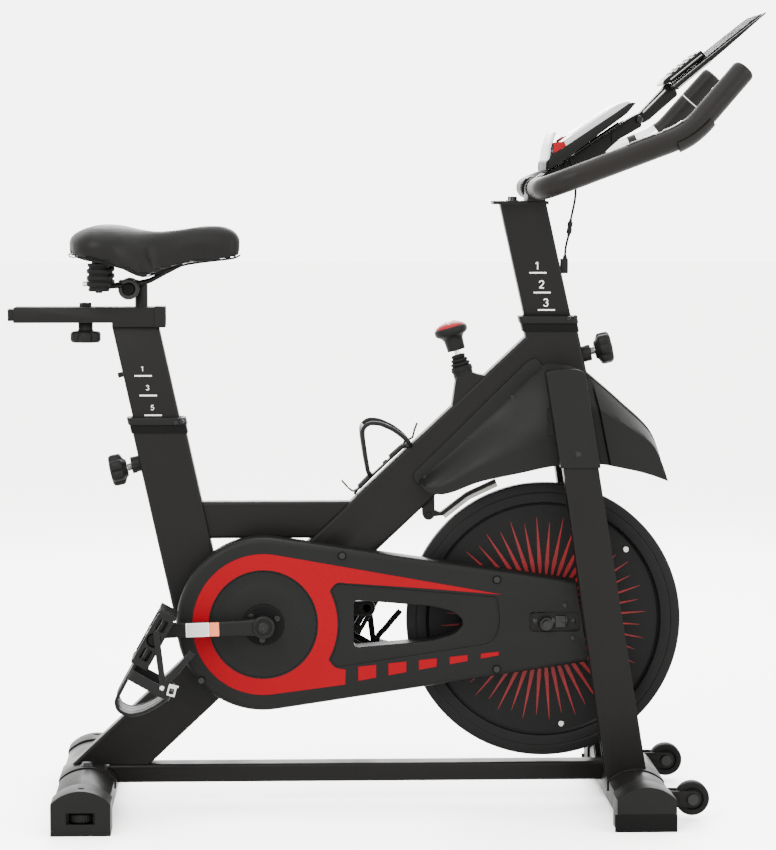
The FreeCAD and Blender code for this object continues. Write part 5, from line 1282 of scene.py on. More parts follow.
def add_grips():
    sleeves = []
    plates = []
    trims = []
    for side_name, side in SIDES.items():
        path = bar_path(side)
        _, total = run_between(path, 0, 10)
        line, _ = run_between(path, 0, total + 4, step=4.0)

        def thickness(share, total=total):
            reach = share * (total + 4)
            swell = 16.3 + 1.0 * min(1.0, reach / total)
            start = 1 - 0.12 * max(0.0, 1 - reach / 4) ** 2
            finish = 1 - 0.10 * max(0.0, 1 - (total + 4 - reach) / 4) ** 2
            return [swell * start * finish] * 2

        sleeves.append(sweep(f"foam_{side_name}", [point * MM for point in line], circle(MM, 32), Z_AXIS,
                             "foam_grip", "handlebar", scale=thickness, sharp=50))
        elbow = total - (Vector(BAR_END) - Vector(BAR_CORNER)).length
        plate_runs = [(elbow - 84, elbow - 46), (elbow - 33, elbow + 4)]
        housing, _ = run_between(path, plate_runs[0][0] - 5, plate_runs[1][1] + 5)
        trims.append(arc_band(f"plate_holder_{side_name}", housing, side, 17.6, 15.0, -50, 110, "toe_plastic",
                              "handlebar", "foam_grip"))
        for number, (first, last) in enumerate(plate_runs):
            run, _ = run_between(path, first, last)
            plates.append(arc_band(f"pulse_plate_{side_name}_{number}", run, side, 18.6, 16.0, -40, 100,
                                   "bright_steel", "handlebar", "bright_steel"))
        lip, _ = run_between(path, elbow - 22, elbow + 34)
        trims.append(arc_band(f"elbow_lip_{side_name}", lip, side, 20.6, 14.0, 196, 262, "foam_grip",
                              "handlebar", "foam_grip"))
        seam, _ = run_between(path, total - 48.6, total - 47.0, step=0.8)
        trims.append(arc_band(f"foam_seam_{side_name}", seam, side, 17.9, 15.0, -90, 90, "grey_label",
                              "handlebar", "foam_grip"))
        axis = (path[-1] - path[-2]).normalized()
        cap = turned([(0, 6.4), (9, 6.4), (13.4, 5.6), (15.6, 3.8), (16.2, 0), (0, 0)], 0.8)
        trims.append(lathe(f"bar_plug_{side_name}", cap, path[-1] * MM, axis, "black_plastic", "handlebar",
                           "foam_grip", segments=48))
    join("grip_foam", sleeves, ["grips"])
    join("pulse_plates", plates)
    join("grip_trims", trims)


def add_bar_tube():
    """Plated tube between the grips, with a fine line either side of the clamp."""
    half = 66
    profile = [(0, -half), (12.7, -half)]
    for y in (-30, 30):
        profile += [(12.7, y - 0.6), (12.4, y - 0.3), (12.4, y + 0.3), (12.7, y + 0.6)]
    profile += [(12.7, half), (0, half)]
    lathe("bar_middle", profile, mm(BAR[0], 0, BAR[1]), Y_AXIS, "bright_steel", "handlebar", segments=64)


def add_clamp():
    """Split rings with their bolts, the clamp casting, and ribs and edges on the bracket that carries the
    console.
    """
    bar = mm(BAR[0], 0, BAR[1])
    soften("handlebar_clamp", 1.2, segments=3, name="clamp_casting")
    rings = [washer("clamp_rim", 16.9, 12.9, low, high, bar + Y_AXIS * side * 40 * MM, Y_AXIS, "black_paint",
                    "handlebar", ease=0.5) for side in (-1, 1) for low, high in ((-6.8, -4.6), (4.6, 6.8))]
    join("clamp_rims", rings)
    head = turned([(0, 4.2), (2.6, 4.2), (2.6, 6.6), (4.4, 6.6), (5.4, 6.0), (5.6, 1.4), (8.2, 1.2),
                   (8.4, -0.6), (0, -0.6)], 0.3)
    spots = ((191, 20, 903, Z_AXIS), (253, 33, 941, Vector((0.5, 0, -0.87))))
    heads("clamp_bolts", head, [(mm(x, side * y, z), axis) for side in (-1, 1) for x, y, z, axis in spots],
          "dark_steel", "handlebar", "bright_steel", segments=28)
    ribs = []
    for x, low, high in ((266, 952, 962), (336, 988, 1004)):
        for side in (-1, 1):
            ribs.append(box(f"bracket_rib_{x}_{side}", mm(x, side * 22 - 1.6, low),
                            mm(x + 3, side * 22 + 1.6, high),
                            "toe_plastic", "handlebar", "black_paint", bevel=0.6))
    for side in (-1, 1):
        edge = [mm(244, side * 20.5, 950.5), mm(262, side * 20.5, 959.5), mm(351, side * 20.5, 1019.5)]
        ribs.append(sweep(f"bracket_edge_{side}", edge, circle(1.3 * MM, 8), Y_AXIS, "dark_steel",
                          "handlebar",
                          "black_paint"))
    join("bracket_ribs", ribs)


# ---------------------------------------------------------------------------------------------
# Console and tablet holder
# ---------------------------------------------------------------------------------------------
FACE_ORIGIN = Vector((250, 985))
FACE_ALONG = Vector((0.832, 0.555))
FACE_UP = Vector((-0.555, 0.832))
CONSOLE_HALF = 72


def face_point(along, up):
    return FACE_ORIGIN + FACE_ALONG * along + FACE_UP * up


def face_loop(corners, radii):
    return metres([face_point(*corner) for corner in eased(corners, radii)])


def face_place():
    """Frame on the console's face: X along it, Y across the bike, Z outwards."""
    along = Vector((FACE_ALONG.x, 0, FACE_ALONG.y))
    up = Vector((FACE_UP.x, 0, FACE_UP.y))
    origin = mm(FACE_ORIGIN.x, 0, FACE_ORIGIN.y)
    return Matrix.Translation(origin) @ Matrix((along, Y_AXIS, up)).transposed().to_4x4()


def rounded_plate(name, centre, size, low, high, corner, finish, slot, place, body="handlebar", bevel=0.4):
    """Rounded rectangle lying in the frame of a place, from a height to another, in millimetres."""
    half_x, half_y = size[0] / 2, size[1] / 2
    corners = [(centre[0] - half_x, centre[1] - half_y), (centre[0] + half_x, centre[1] - half_y),
               (centre[0] + half_x, centre[1] + half_y), (centre[0] - half_x, centre[1] + half_y)]
    loop = [(point.x * MM, -point.y * MM) for point in eased(corners, corner)]
    turn = place @ Matrix.Rotation(math.radians(90), 4, "X")
    return plate(name, [loop], low * MM, high * MM, finish, body, slot, turn, bevel=bevel, segments=2)


def add_console():
    half = CONSOLE_HALF * MM
    shell = face_loop([(-26, -12), (-34, -23), (-9, -25), (112, -19.2), (132, -13.4), (124, -8), (104, -8.6),
                       (2, -8.6), (-4, -5), (-12, -9)], [3, 3, 2, 3, 1.2, 3, 5, 3, 3, 3])
    plate("console_lower_shell", [shell], -half, half, "case_plastic", "handlebar", "console_shell",
          bevel=2.2, segments=3)
    cover = face_loop([(5, -0.4), (108, 0), (122, -4.5), (126, -8.0), (104, -9.0), (3, -9.0)],
                      [3, 14, 6, 1, 4, 1])
    top = plate("console_cover", [cover], -half, half, "console_shell", "handlebar", bevel=1.6, segments=3)
    front = [(9, 17.5), (1, 12), (-9, 4), (-17, -5), (-25, -14), (-33, -22)]
    line = [face_point(*point) for point in curve_through(front, 6)]
    plate("console_lip", [metres(line + inset_open(line, 2.6))], -half, half, "console_shell", "handlebar",
          bevel=0.9, segments=2)
    place = face_place()
    outwards = place.col[2].to_3d()
    rounded_plate("console_window", (66, 0), (72, 112), -0.6, 0.7, 6, "console_glass", "console_shell", place)
    rounded_plate("console_display", (70, 0), (44, 78), 0.6, 0.95, 2, "lcd", "console_shell", place,
                  bevel=0.1)
    for number in range(3):
        rounded_plate(f"display_rule_{number}", (58 + 12 * number, 0), (0.7, 70), 0.9, 1.05, 0.1,
                      "case_plastic",
                      "console_shell", place, bevel=0.02)
    corners = face_loop([(-9, -8), (-2, 6), (6, 1.6), (13, -2), (11, -9)], [1, 3, 2, 2, 1])
    for side in (-1, 1):
        plate(f"console_red_corner_{side}", [corners], *span(side, 45, 72.4), "red_plastic", "handlebar",
              "red_plastic", bevel=0.8)
    washer("button_bezel", 10.5, 7.4, -0.4, 1.0, place @ mm(15, 0, 0), outwards, "case_plastic", "handlebar",
           "console_shell")
    head = turned([(0, 0.6), (1.4, 0.6), (1.6, 1.6), (3.2, 1.2), (3.5, 0), (0, 0)], 0.2)
    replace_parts(top, "console")
    heads("console_screws", head, [(place @ mm(along, y, 0) - outwards * 24.5 * MM, -outwards)
                                   for along in (14, 100) for y in (-58, 58)],
          "dark_steel", "handlebar", "bright_steel", segments=16)


def inset_open(line, distance):
    """The same line moved sideways, in reverse order."""
    result = []
    for number, point in enumerate(line):
        before = line[max(0, number - 1)]
        after = line[min(len(line) - 1, number + 1)]
        heading = (after - before).normalized()
        result.append(point + Vector((-heading.y, heading.x)) * distance)
    return list(reversed(result))


def add_button():
    place = face_place()
    low = [(0, 3.6), (3.2, 3.5), (5.4, 3.0), (6.5, 2.0), (6.9, 0.8), (6.9, -3.8), (0, -3.8)]
    button = lathe("button_cap", turned(low, 0.4), place @ mm(15, 0, 0),
                   place.col[2].to_3d(), "red_plastic", "console_button", segments=48)
    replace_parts(button, "console_button")


def add_tablet_holder():
    """Ribbed back plate on an arm, with its rails and a hinge pin; the sprung clip is made by add_clip."""
    low = Vector((425, 1069))
    tip = Vector((557, 1178.5))
    along = (tip - low).normalized()
    up = Vector((-along.y, along.x))
    length = (tip - low).length
    frame_along = Vector((along.x, 0, along.y))
    frame_up = Vector((up.x, 0, up.y))
    place = Matrix.Translation(mm(low.x, 0, low.y)) @ Matrix((frame_along, Y_AXIS,
                                                              frame_up)).transposed().to_4x4()
    taper = [(0, 4.4), (length * 0.62, 3.0), (length, 1.0), (length, -0.6), (length * 0.62, -2.6), (0, -4.4)]
    loop = [(low + along * point[0] + up * point[1]) for point in taper]
    back = plate("tablet_back", [metres(eased(loop, [1.5, 8, 0.8, 0.8, 8, 1.5]))], -78 * MM, 78 * MM,
                 "smooth_black", "handlebar", "black_plastic", bevel=0.7)
    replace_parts(back, "tablet_holder")
    pieces = []
    for y in (-62, -36, -12, 12, 36, 62):
        rail = [(low + along * reach + up * height) for reach,
                height in ((60, 3.2), (150, 1.2), (166, 1.0), (166, 3.2),
                                                                         (150, 4.4), (62, 6.2))]
        pieces.append(plate(f"tablet_rail_{y}", [metres(eased(rail, [1, 6, 1, 1, 6, 2]))], (y - 3.5) * MM,
                            (y + 3.5) * MM,
                            "smooth_black", "handlebar", "black_plastic", bevel=0.8))
    edge = []
    # Painted highlight: lighter grey strips along the side edges of the tray.
    for side in (-1, 1):
        edge.append(box(f"tray_edge_{side}", mm(2, side * 78 - 1.2, -4.0), mm(64, side * 78 + 1.2, -1.8),
                        "edge_grey",
                        "handlebar", "black_plastic", place, bevel=0.5))
    arm = eased([(377, 1031), (384, 1018), (392, 1022), (436, 1060), (430, 1074), (420, 1078), (412, 1068)],
                [3, 2, 3, 4, 4, 4, 6])
    plate("tablet_arm", [metres(arm)], -15 * MM, 15 * MM, "toe_plastic", "handlebar", "black_plastic",
          bevel=2.0, segments=3)
    rims = []
    # Painted highlight: lighter grey rims along the edges of the arm.
    for side in (-1, 1):
        line = [mm(384, side * 14, 1034), mm(398, side * 14, 1048), mm(417, side * 14, 1067)]
        rims.append(sweep(f"arm_rim_{side}", line, circle(1.5 * MM, 8), Y_AXIS, "edge_grey", "handlebar",
                          "black_plastic"))
    pin = turned([(0, -26), (4.2, -26), (5.4, -24.5), (5.4, 24.5), (4.2, 26), (0, 26)], 0.6)
    lathe("holder_hinge", pin, mm(377.5, 0, 1024), Y_AXIS, "dark_steel", "handlebar", "black_plastic",
          segments=32)
    join("tablet_back_rails", pieces + edge)
    join("tablet_arm_rims", rims)


def add_clip():
    """Sprung clip: a hooked band with grip ribs."""
    low = Vector((418, 1079))
    tip = Vector((470, 1120.6))
    along = (tip - low).normalized()
    up = Vector((-along.y, along.x))

    def at(reach, height):
        return low + along * reach + up * height

    length = (tip - low).length
    band = eased([at(-8.2, 2.0), at(-4, 5.4), at(4, 5.4), at(length, 5.6), at(length + 0.2, -5.2),
                  at(8, -5.0),
                  at(2, -4.4), at(0, 0.2), at(-7.0, -0.6)], [1.2, 2, 3, 1.5, 1.5, 2, 2, 2, 1])
    body = plate("clip_band", [metres(band)], -40 * MM, 40 * MM, "smooth_black", "tablet_clip",
                 "black_plastic",
                 bevel=1.0)
    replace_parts(body, "tablet_clip")
    ribs = []
    for number in range(5):
        reach = 12 + number * 10.5
        loop = [at(reach, 5.0), at(reach, 6.8), at(reach + 4.6, 6.8), at(reach + 4.6, 5.0)]
        ribs.append(plate(f"clip_rib_{number}", [metres(loop)], -36 * MM, 36 * MM, "smooth_black",
                          "tablet_clip", "black_plastic", bevel=0.7))
    # Painted highlight: lighter grey strips along the sides of the clip.
    for side in (-1, 1):
        loop = [at(4, -1.2), at(4, 0.8), at(length - 3, 0.8), at(length - 3, -1.2)]
        ribs.append(plate(f"clip_side_{side}", [metres(loop)], *span(side, 39.4, 41), "edge_grey",
                          "tablet_clip",
                          "black_plastic", bevel=0.4))
    # Painted highlight: a lighter grey strip along the edge of the hook.
    hook = [at(-8.4, -0.8), at(-8.4, 2.4), at(-3, 6.0), at(-2, 4.8), at(-6.6, 1.6), at(-6.6, -0.8)]
    ribs.append(plate("clip_hook_edge", [metres(hook)], -38 * MM, 38 * MM, "edge_grey", "tablet_clip",
                      "black_plastic", bevel=0.4))
    join("clip_ribs", ribs)


add_grips()
add_bar_tube()
add_clamp()
add_console()
add_button()
add_tablet_holder()
add_clip()


# ---------------------------------------------------------------------------------------------
# Posts: scale marks, pin holes and collar screws
# ---------------------------------------------------------------------------------------------
POST_FACE = -15.0
SEAT_COLLAR = mm(-337.5, 0, 572)
HEAD_COLLAR = mm(245.5, 0, 722)

# Strokes of the figures, in a box one unit high and centred on the middle.
STROKES = {
    "1": [[(-0.2, 0.26), (0.04, 0.46), (0.04, -0.46)]],
    "2": [[(-0.27, 0.2), (-0.22, 0.38), (0, 0.46), (0.22, 0.38), (0.26, 0.18), (0.1, -0.08), (-0.28, -0.44),
           (0.3, -0.44)]],
    "3": [[(-0.24, 0.3), (-0.1, 0.45), (0.12, 0.44), (0.25, 0.25), (0.14, 0.06), (-0.04, 0.03)],
          [(-0.04, 0.03), (0.2, -0.03), (0.28, -0.22), (0.14, -0.43), (-0.1, -0.46), (-0.27, -0.3)]],
    "5": [[(0.24, 0.44), (-0.18, 0.44), (-0.22, 0.04), (0.02, 0.12), (0.24, 0.0), (0.27, -0.22),
           (0.12, -0.43),
           (-0.1, -0.45), (-0.27, -0.3)]],
}


def add_number(text, x, z, height, body):
    """Figure printed on the rider's right-hand face of a post."""
    pieces = []
    for number, stroke in enumerate(STROKES[text]):
        line = [mm(x + across * height, POST_FACE - 0.1, z + up * height) for across, up in stroke]
        path = eased(line, height * 0.07 * MM, closed=False, steps=3)
        wide = height * 0.062 * MM
        section = [(-wide, -0.15 * MM), (wide, -0.15 * MM), (wide, 0.15 * MM), (-wide, 0.15 * MM)]
        pieces.append(sweep(f"figure_{text}_{number}", path, section, Y_AXIS, "white_ink", body,
                            "black_paint"))
    return join("figure_" + text, pieces)


def add_scale(name, marks, length, height, body):
    """Lines with a figure above each."""
    pieces = []
    for text, x, z, up in marks:
        pieces.append(box(f"{name}_line_{text}", mm(x, POST_FACE - 0.25, z - 1.0),
                          mm(x + length, POST_FACE + 0.3, z + 1.0), "white_ink", body, "black_paint"))
        pieces.append(add_number(text, x + length * 0.46, z + up, height, body))
    join(name, pieces)


def add_pin_holes(name, anchor, direction, reach, steps, body):
    """Pin holes along the pin side of a post: a pressed rim round each, with a flat dark disc inside it that
    is painted shade for the depth of the hole.
    """
    outward = POST_FORWARD * direction
    pieces = []
    for step in steps:
        centre = anchor + POST_UP * step * MM + outward * reach * MM
        pieces.append(washer(f"{name}_rim_{step}", 7.0, 5.9, -0.6, 0.35, centre, outward, "black_paint", body,
                             segments=36, ease=0.25))
        # Painted shade: a thin dark disc flush with the post, where the inside of the hole would be in
        # shadow.
        disc = [(0, -0.2), (6.0, -0.2), (6.0, 0.12), (0, 0.12)]
        pieces.append(lathe(f"{name}_painted_shade_disc_{step}", disc, centre, outward, "recess_plastic", body,
                            "black_paint",
                            segments=36))
    join(name, pieces)


def add_collar_screws():
    head = turned([(0, 1.0), (1.4, 1.0), (1.5, 2.0), (2.9, 1.7), (3.3, 0), (0, 0)], 0.25)
    spots = ((-310, 574.6), (-301, 576.6), (274, 728.6), (284, 730.8))
    heads("collar_screws", head, [(mm(x, -23.4, z), -Y_AXIS) for x, z in spots], "dark_steel", "frame",
          "bright_steel", segments=20)


soften("seat_post", 0.5)
for node in ("handlebar_post", "main_tube", "top_brace_tube"):
    soften(node, 0.6)
add_scale("seat_scale", [("1", -371.4, 644.1, 10.4), ("3", -364.0, 614.8, 11.6), ("5", -356.9, 585.4, 11.4)],
          25.7, 7.6, "seat_post")
add_scale("handlebar_scale", [("1", 215.7, 796.3, 10.4), ("2", 222.1, 766.9, 12.2),
                              ("3", 228.5, 741.0, 11.0)],
          25.4, 12.0, "handlebar")
add_pin_holes("seat_post_holes", SEAT_COLLAR, -1, 34.0, (16, 41, 66), "seat_post")
add_pin_holes("handlebar_post_holes", HEAD_COLLAR, 1, 34.0, (30, 55), "handlebar")
add_collar_screws()


# ---------------------------------------------------------------------------------------------
# Bottle cage and post collars
# ---------------------------------------------------------------------------------------------
def add_bottle_cage():
    """Two bent wires on a back strip with a hook at each end."""
    pieces = []
    lower = Vector((-45.4, 466.4))
    upper = Vector((33.1, 540.2))
    along = (upper - lower).normalized()
    out = Vector((-along.y, along.x))

    def at(reach, height, y=0.0):
        point = lower + along * reach + out * height
        return mm(point.x, y, point.y)

    for side in (-1, 1):
        route = [at(12, 1.6, side * 9), at(38, 2.6, side * 11), mm(-24, side * 20, 497),
                 mm(-28.5, side * 32, 522),
                 mm(-33, side * 37, 553), mm(-33.5, side * 37.5, 566), mm(-24, side * 37.5, 574.5),
                 mm(-8, side * 37, 574), mm(12, side * 35.5, 565), mm(27, side * 33, 554),
                 mm(37, side * 27, 543),
                 mm(39, side * 17, 538), at(104, 1.8, side * 9), at(76, 2.4, side * 9)]
        line = eased(route, 7 * MM, closed=False, steps=5)
        total = sum((second - first).length for first, second in zip(line, line[1:]))
        path, _ = run_between(line, 0, total, step=3 * MM)
        pieces.append(sweep(f"cage_wire_{side}", path, circle(3.2 * MM, 14), Y_AXIS, "toe_plastic", "frame",
                            "black_paint"))
    cross = [mm(-33.5, y, 568 - 0.004 * y * y) for y in range(-37, 38, 6)]
    pieces.append(sweep("cage_crossbar", cross, circle(3.0 * MM, 12), Z_AXIS, "toe_plastic", "frame",
                        "black_paint"))
    strip = [at(0, -1.2), at(8, 0.8), at(100, 0.8), at(108, 2.4)]
    section = bar_section(9.5, 1.5, 0.8)
    normal = Vector((out.x, 0, out.y))
    pieces.append(sweep("cage_strip", strip, section, normal, "toe_plastic", "frame", "black_paint"))
    narrow = [(across * 0.75, up * 0.8) for across, up in section]
    foot = eased([at(9, 1.0), mm(-46.5, 0, 469.5), mm(-53, 0, 474), mm(-63.5, 0, 486)], 3 * MM, closed=False,
                 steps=4)
    pieces.append(sweep("cage_foot", foot, narrow, normal, "toe_plastic", "frame", "black_paint"))
    hook = eased([at(99, 1.0), mm(31, 0, 545.5), mm(42.6, 0, 549.9), mm(45, 0, 561), mm(49.2, 0, 572)],
                 3 * MM,
                 closed=False, steps=4)
    pieces.append(sweep("cage_hook", hook, narrow, normal, "toe_plastic", "frame", "black_paint"))
    join("cage_wires", pieces, ["bottle_cage"])
    head = turned([(0, 1.0), (1.6, 1.0), (1.9, 2.6), (3.6, 2.2), (4.4, 0), (0, 0)], 0.3)
    heads("cage_screws", head, [(at(reach, 2.2), normal) for reach in (30, 66)], "dark_steel", "frame",
          "bright_steel", segments=20)


def level_ring(name, centre_z, half_x, half_y, wall, height, finish, top):
    """Rectangular ring level with the floor, its sides leaning with the post."""
    loop = eased([(-half_x, -half_y), (half_x, -half_y), (half_x, half_y), (-half_x, half_y)], 6, steps=5)
    path = [mm(top.x / MM + point.x, point.y, centre_z) for point in loop]
    ring = sweep(name, path, bar_section(wall / 2, height / 2, min(wall, height) * 0.2), Z_AXIS, finish,
                 "frame",
                 "black_plastic", closed=True)
    slope = POST_UP.x / POST_UP.z
    for vertex in ring.data.vertices:
        vertex.co.x += (vertex.co.z - top.z) * slope
    return ring


def add_collar(name, top, low, high):
    """Moulded ring around a post, with a skirt down the tube."""
    band = level_ring(name + "_ring", (low + high) / 2, 40.4, 19.9, 7.0, high - low, "case_plastic", top)
    skirt = level_ring(name + "_skirt", low - 5.5, 41.2, 20.3, 1.5, 14, "recess_plastic", top)
    return [band, skirt]


def add_front_cap_bands():
    """Darker lower part of the front caps."""
    _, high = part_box("foot_caps")
    for side in SIDES.values():
        first, second = sorted((side * (high.y - 1 * MM), side * (high.y + 0.8 * MM)))
        box(f"cap_band_{side}", (high.x - 89.5 * MM, first, 0.0005), (high.x + 0.5 * MM, second, 0.026),
            "recess_plastic", "frame", "black_plastic", bevel=0.6)


add_bottle_cage()
add_front_cap_bands()
join("post_collars", add_collar("seat_collar", SEAT_COLLAR, 571, 582) + add_collar("head_collar", HEAD_COLLAR,
                                                                                   721, 732),
     ["post_sleeves"])


# ---------------------------------------------------------------------------------------------
# Flywheel guard: two bowed panels that meet over the wheel, strips on the main tube, leg covers
# ---------------------------------------------------------------------------------------------
GUARD_TOP = [(51, 486), (110, 542), (170, 599), (230, 656), (262, 660), (292, 652), (318, 632), (352, 602),
             (393, 563), (409, 528), (420, 488)]
GUARD_BOTTOM = [(51, 486), (60, 475), (78, 469.5), (100, 473), (140, 488), (201, 501), (251, 511), (310, 514),
                (360, 506), (392, 498), (420, 488)]
GUARD_SIDE = 57.0
RIDGE = 17.0
WALL = 2.6
# Where the sunken band behind the leg starts and ends, as distances along X on the two edges.
BAND_TOP = (293, 309)
BAND_BOTTOM = (318, 335)
# Columns of faces before, across and after that band.
COLUMNS = (62, 6, 34)


def spaced(points, limits, counts):
    """Points along a line, spread evenly over each stretch between the limits."""
    path = curve_through([Vector(point) for point in points], 8)
    edges = [points[0][0], *limits, points[-1][0]]
    result = []
    for first, second, count in zip(edges, edges[1:], counts):
        for number in range(count):
            result.append(at_x(path, first + (second - first) * number / count))
    result.append(Vector(points[-1]))
    return result


def at_x(path, x):
    for first, second in zip(path, path[1:]):
        if first.x <= x <= second.x and second.x > first.x:
            return first.lerp(second, (x - first.x) / (second.x - first.x))
    return path[0].copy() if x <= path[0].x else path[-1].copy()


def smooth_step(low, high, value):
    share = min(1.0, max(0.0, (value - low) / (high - low)))
    return share * share * (3 - 2 * share)


def guard_depth(x, across, sunken):
    """How far the panel stands out from the middle; across runs from the top edge to the bottom edge."""
    nose = smooth_step(262, 300, x)
    tube_side = 25 + 32 * smooth_step(0.0, 0.75, across) ** 0.9
    crease = 0.36 - 0.08 * smooth_step(300, 400, x)
    roof = RIDGE + (GUARD_SIDE - RIDGE) * min(1.0, across / crease) ** 0.9
    depth = tube_side * (1 - nose) + roof * nose
    return depth - (5.0 * smooth_step(0.05, 0.2, across) if sunken else 0.0)


def guard_panel(name, side, rows=26):
    top = spaced(GUARD_TOP, BAND_TOP, COLUMNS)
    bottom = spaced(GUARD_BOTTOM, BAND_BOTTOM, COLUMNS)
    bm = bmesh.new()
    layers = []
    for inset in (0.0, WALL):
        grid = []
        for number, (upper, lower) in enumerate(zip(top, bottom)):
            sunken = COLUMNS[0] < number < COLUMNS[0] + COLUMNS[1]
            column = []
            for row in range(rows + 1):
                across = row / rows
                point = upper.lerp(lower, across)
                depth = guard_depth(point.x, across, sunken) - inset
                column.append(bm.verts.new(mm(point.x, side * depth, point.y)))
            grid.append(column)
        layers.append(grid)
    for grid in layers:
        for first, second in zip(grid, grid[1:]):
            for row in range(rows):
                bm.faces.new((first[row], second[row], second[row + 1], first[row + 1]))
    outer, inner = layers
    last = len(outer) - 1
    for number in range(last):
        for row in (0, rows):
            bm.faces.new((outer[number][row], inner[number][row], inner[number + 1][row],
                          outer[number + 1][row]))
    for number in (0, last):
        for row in range(rows):
            bm.faces.new((outer[number][row], inner[number][row], inner[number][row + 1],
                          outer[number][row + 1]))
    bmesh.ops.remove_doubles(bm, verts=bm.verts, dist=5e-6)
    return from_bmesh(name, bm, "case_plastic", "frame", "black_plastic", sharp=24)


def add_guard():
    pieces = []
    roof_line = [point for point in spaced(GUARD_TOP, BAND_TOP, COLUMNS) if point.x > 285]
    for side_name, side in SIDES.items():
        pieces.append(guard_panel("guard_panel_" + side_name, side))
        cover = eased([(235, 652), (250, 656.5), (280, 656.5), (292, 652), (316, 511), (257, 511)],
                      [4, 8, 8, 4, 2, 2])
        pieces.append(plate("leg_cover_" + side_name, [metres(cover)], *span(side, 50, 91), "case_plastic",
                            "frame",
                            "black_plastic", bevel=5.0, segments=5))
        strip = eased([(41.4, 496.2), (47, 482), (58, 484), (236, 655), (226, 671), (212, 664)],
                      [5, 5, 4, 4, 6, 5])
        pieces.append(plate("guard_strip_" + side_name, [metres(strip)], *span(side, 20.2, 25.4),
                            "case_plastic", "frame",
                            "black_plastic", bevel=1.6, segments=3))
    bm = bmesh.new()
    rows = []
    for point in roof_line:
        rows.append([bm.verts.new(mm(point.x, y, point.y + lift)) for y, lift in
                     ((-RIDGE, 0), (-RIDGE * 0.5, 1.6), (0, 2.2), (RIDGE * 0.5, 1.6), (RIDGE, 0))])
    for first, second in zip(rows, rows[1:]):
        for number in range(len(first) - 1):
            bm.faces.new((first[number], second[number], second[number + 1], first[number + 1]))
    pieces.append(from_bmesh("guard_ridge", bm, "case_plastic", "frame", "black_plastic",
                             thickness=WALL * MM))
    join("flywheel_guard_shell", pieces, ["flywheel_guard"])
    head = turned([(0, 1.2), (1.6, 1.2), (1.8, 2.2), (3.8, 1.9), (4.6, 0.2), (5.6, 0), (0, 0)], 0.25)
    spots = [(61.5, 490, 25.4), (127, 549, 25.4), (191.5, 610, 25.4), (282, 532, 91)]
    heads("guard_screws", head, [(mm(x, side * (y - 0.1), z), Y_AXIS * side) for side in (-1, 1) for x, z,
                                 y in spots],
          "dark_steel", "frame", "bright_steel")


add_guard()


# ---------------------------------------------------------------------------------------------
# Cranks and pedals
# ---------------------------------------------------------------------------------------------
PEDAL_TURN = math.radians(119.4)


def add_cranks():
    arms = []
    bolts = []
    for side_name, side in SIDES.items():
        tip = joint_point(f"pedal_{side_name}_spin")
        centre = Vector((CRANK.x, 0, CRANK.z))
        away = Vector((tip.x - CRANK.x, 0, tip.z - CRANK.z))
        length = away.length / MM
        angle = math.atan2(away.z, away.x)
        boss = [(17 * math.cos(math.radians(turn)), 17 * math.sin(math.radians(turn)))
                for turn in range(50, 311, 10)]
        end = [(length + 13 * math.cos(math.radians(turn)), 13 * math.sin(math.radians(turn)))
               for turn in range(-70, 71, 10)]
        lower = curve_through([Vector(boss[-1]), Vector((30, -11.6)), Vector((80, -10.8)),
                               Vector((length - 18, -11.2)),
                               Vector(end[0])], 5)[1:-1]
        upper = [Vector((point.x, -point.y)) for point in reversed(lower)]
        loop = metres(boss + lower + end + upper)
        place = Matrix.Translation(centre) @ Matrix.Rotation(-angle, 4, "Y")
        arms.append(plate("crank_arm_" + side_name, [loop], *span(side, 82, 95), "toe_plastic", "crankset",
                          "black_paint", place, bevel=3.4, segments=4))
        hub = turned([(0, 67.5), (15, 67.5), (17, 69.5), (17, 93.5), (16.6, 96.2), (14.0, 97.2), (11.6, 96.6),
                      (11.2, 93.4), (8.4, 93.0), (8.0, 95.4), (4.8, 95.8), (4.4, 93.6), (0, 93.6)], 0.7)
        arms.append(lathe("crank_hub_" + side_name, hub, centre, Y_AXIS * side, "toe_plastic", "crankset",
                          "black_paint", segments=56, sharp=30))
        boss_ring = turned([(7.4, 94), (12.4, 94), (12.4, 96.6), (11.4, 97.4), (7.4, 97.4)], 0.5)
        arms.append(lathe("pedal_boss_" + side_name, boss_ring + [boss_ring[0]], Vector((tip.x, 0, tip.z)),
                          Y_AXIS * side, "toe_plastic", "crankset", "black_paint", segments=40))
        cap = turned([(0, 97.4), (2.6, 97.4), (3.0, 96.4), (5.4, 96.4), (5.9, 98.2), (7.4, 97.8), (7.6, 94),
                      (0, 94)],
                     0.3)
        bolts.append(lathe("crank_bolt_" + side_name, cap, centre, Y_AXIS * side, "dark_steel", "crankset",
                           "bright_steel", segments=36))
        if side < 0:
            blank = rounded_side("crank_label", place, (79.4, 114.0), (-10.2, 10.2), -95.45, -94.6,
                                 "white_ink")
            inner = rounded_side("crank_label_field", place, (81.2, 111.8), (-8.8, 8.8), -95.6, -95.0,
                                 "grey_label")
            end_patch = rounded_side("crank_label_end", place, (65.2, 78.6), (-10.2, 10.2), -95.5, -94.6,
                                     "orange_label")
            join("crank_label", [blank, inner, end_patch])
    join("crank_arm_pair", arms, ["crank_arms"])
    join("crank_bolts", bolts)


def rounded_side(name, place, along, across, low, high, finish):
    """Thin rounded patch on the outer face of the right crank."""
    loop = eased([(along[0], across[0]), (along[1], across[0]), (along[1], across[1]), (along[0], across[1])],
                 1.2)
    return plate(name, [metres(loop)], low * MM, high * MM, finish, "crankset", "black_paint", place,
                 bevel=0.1, segments=1)


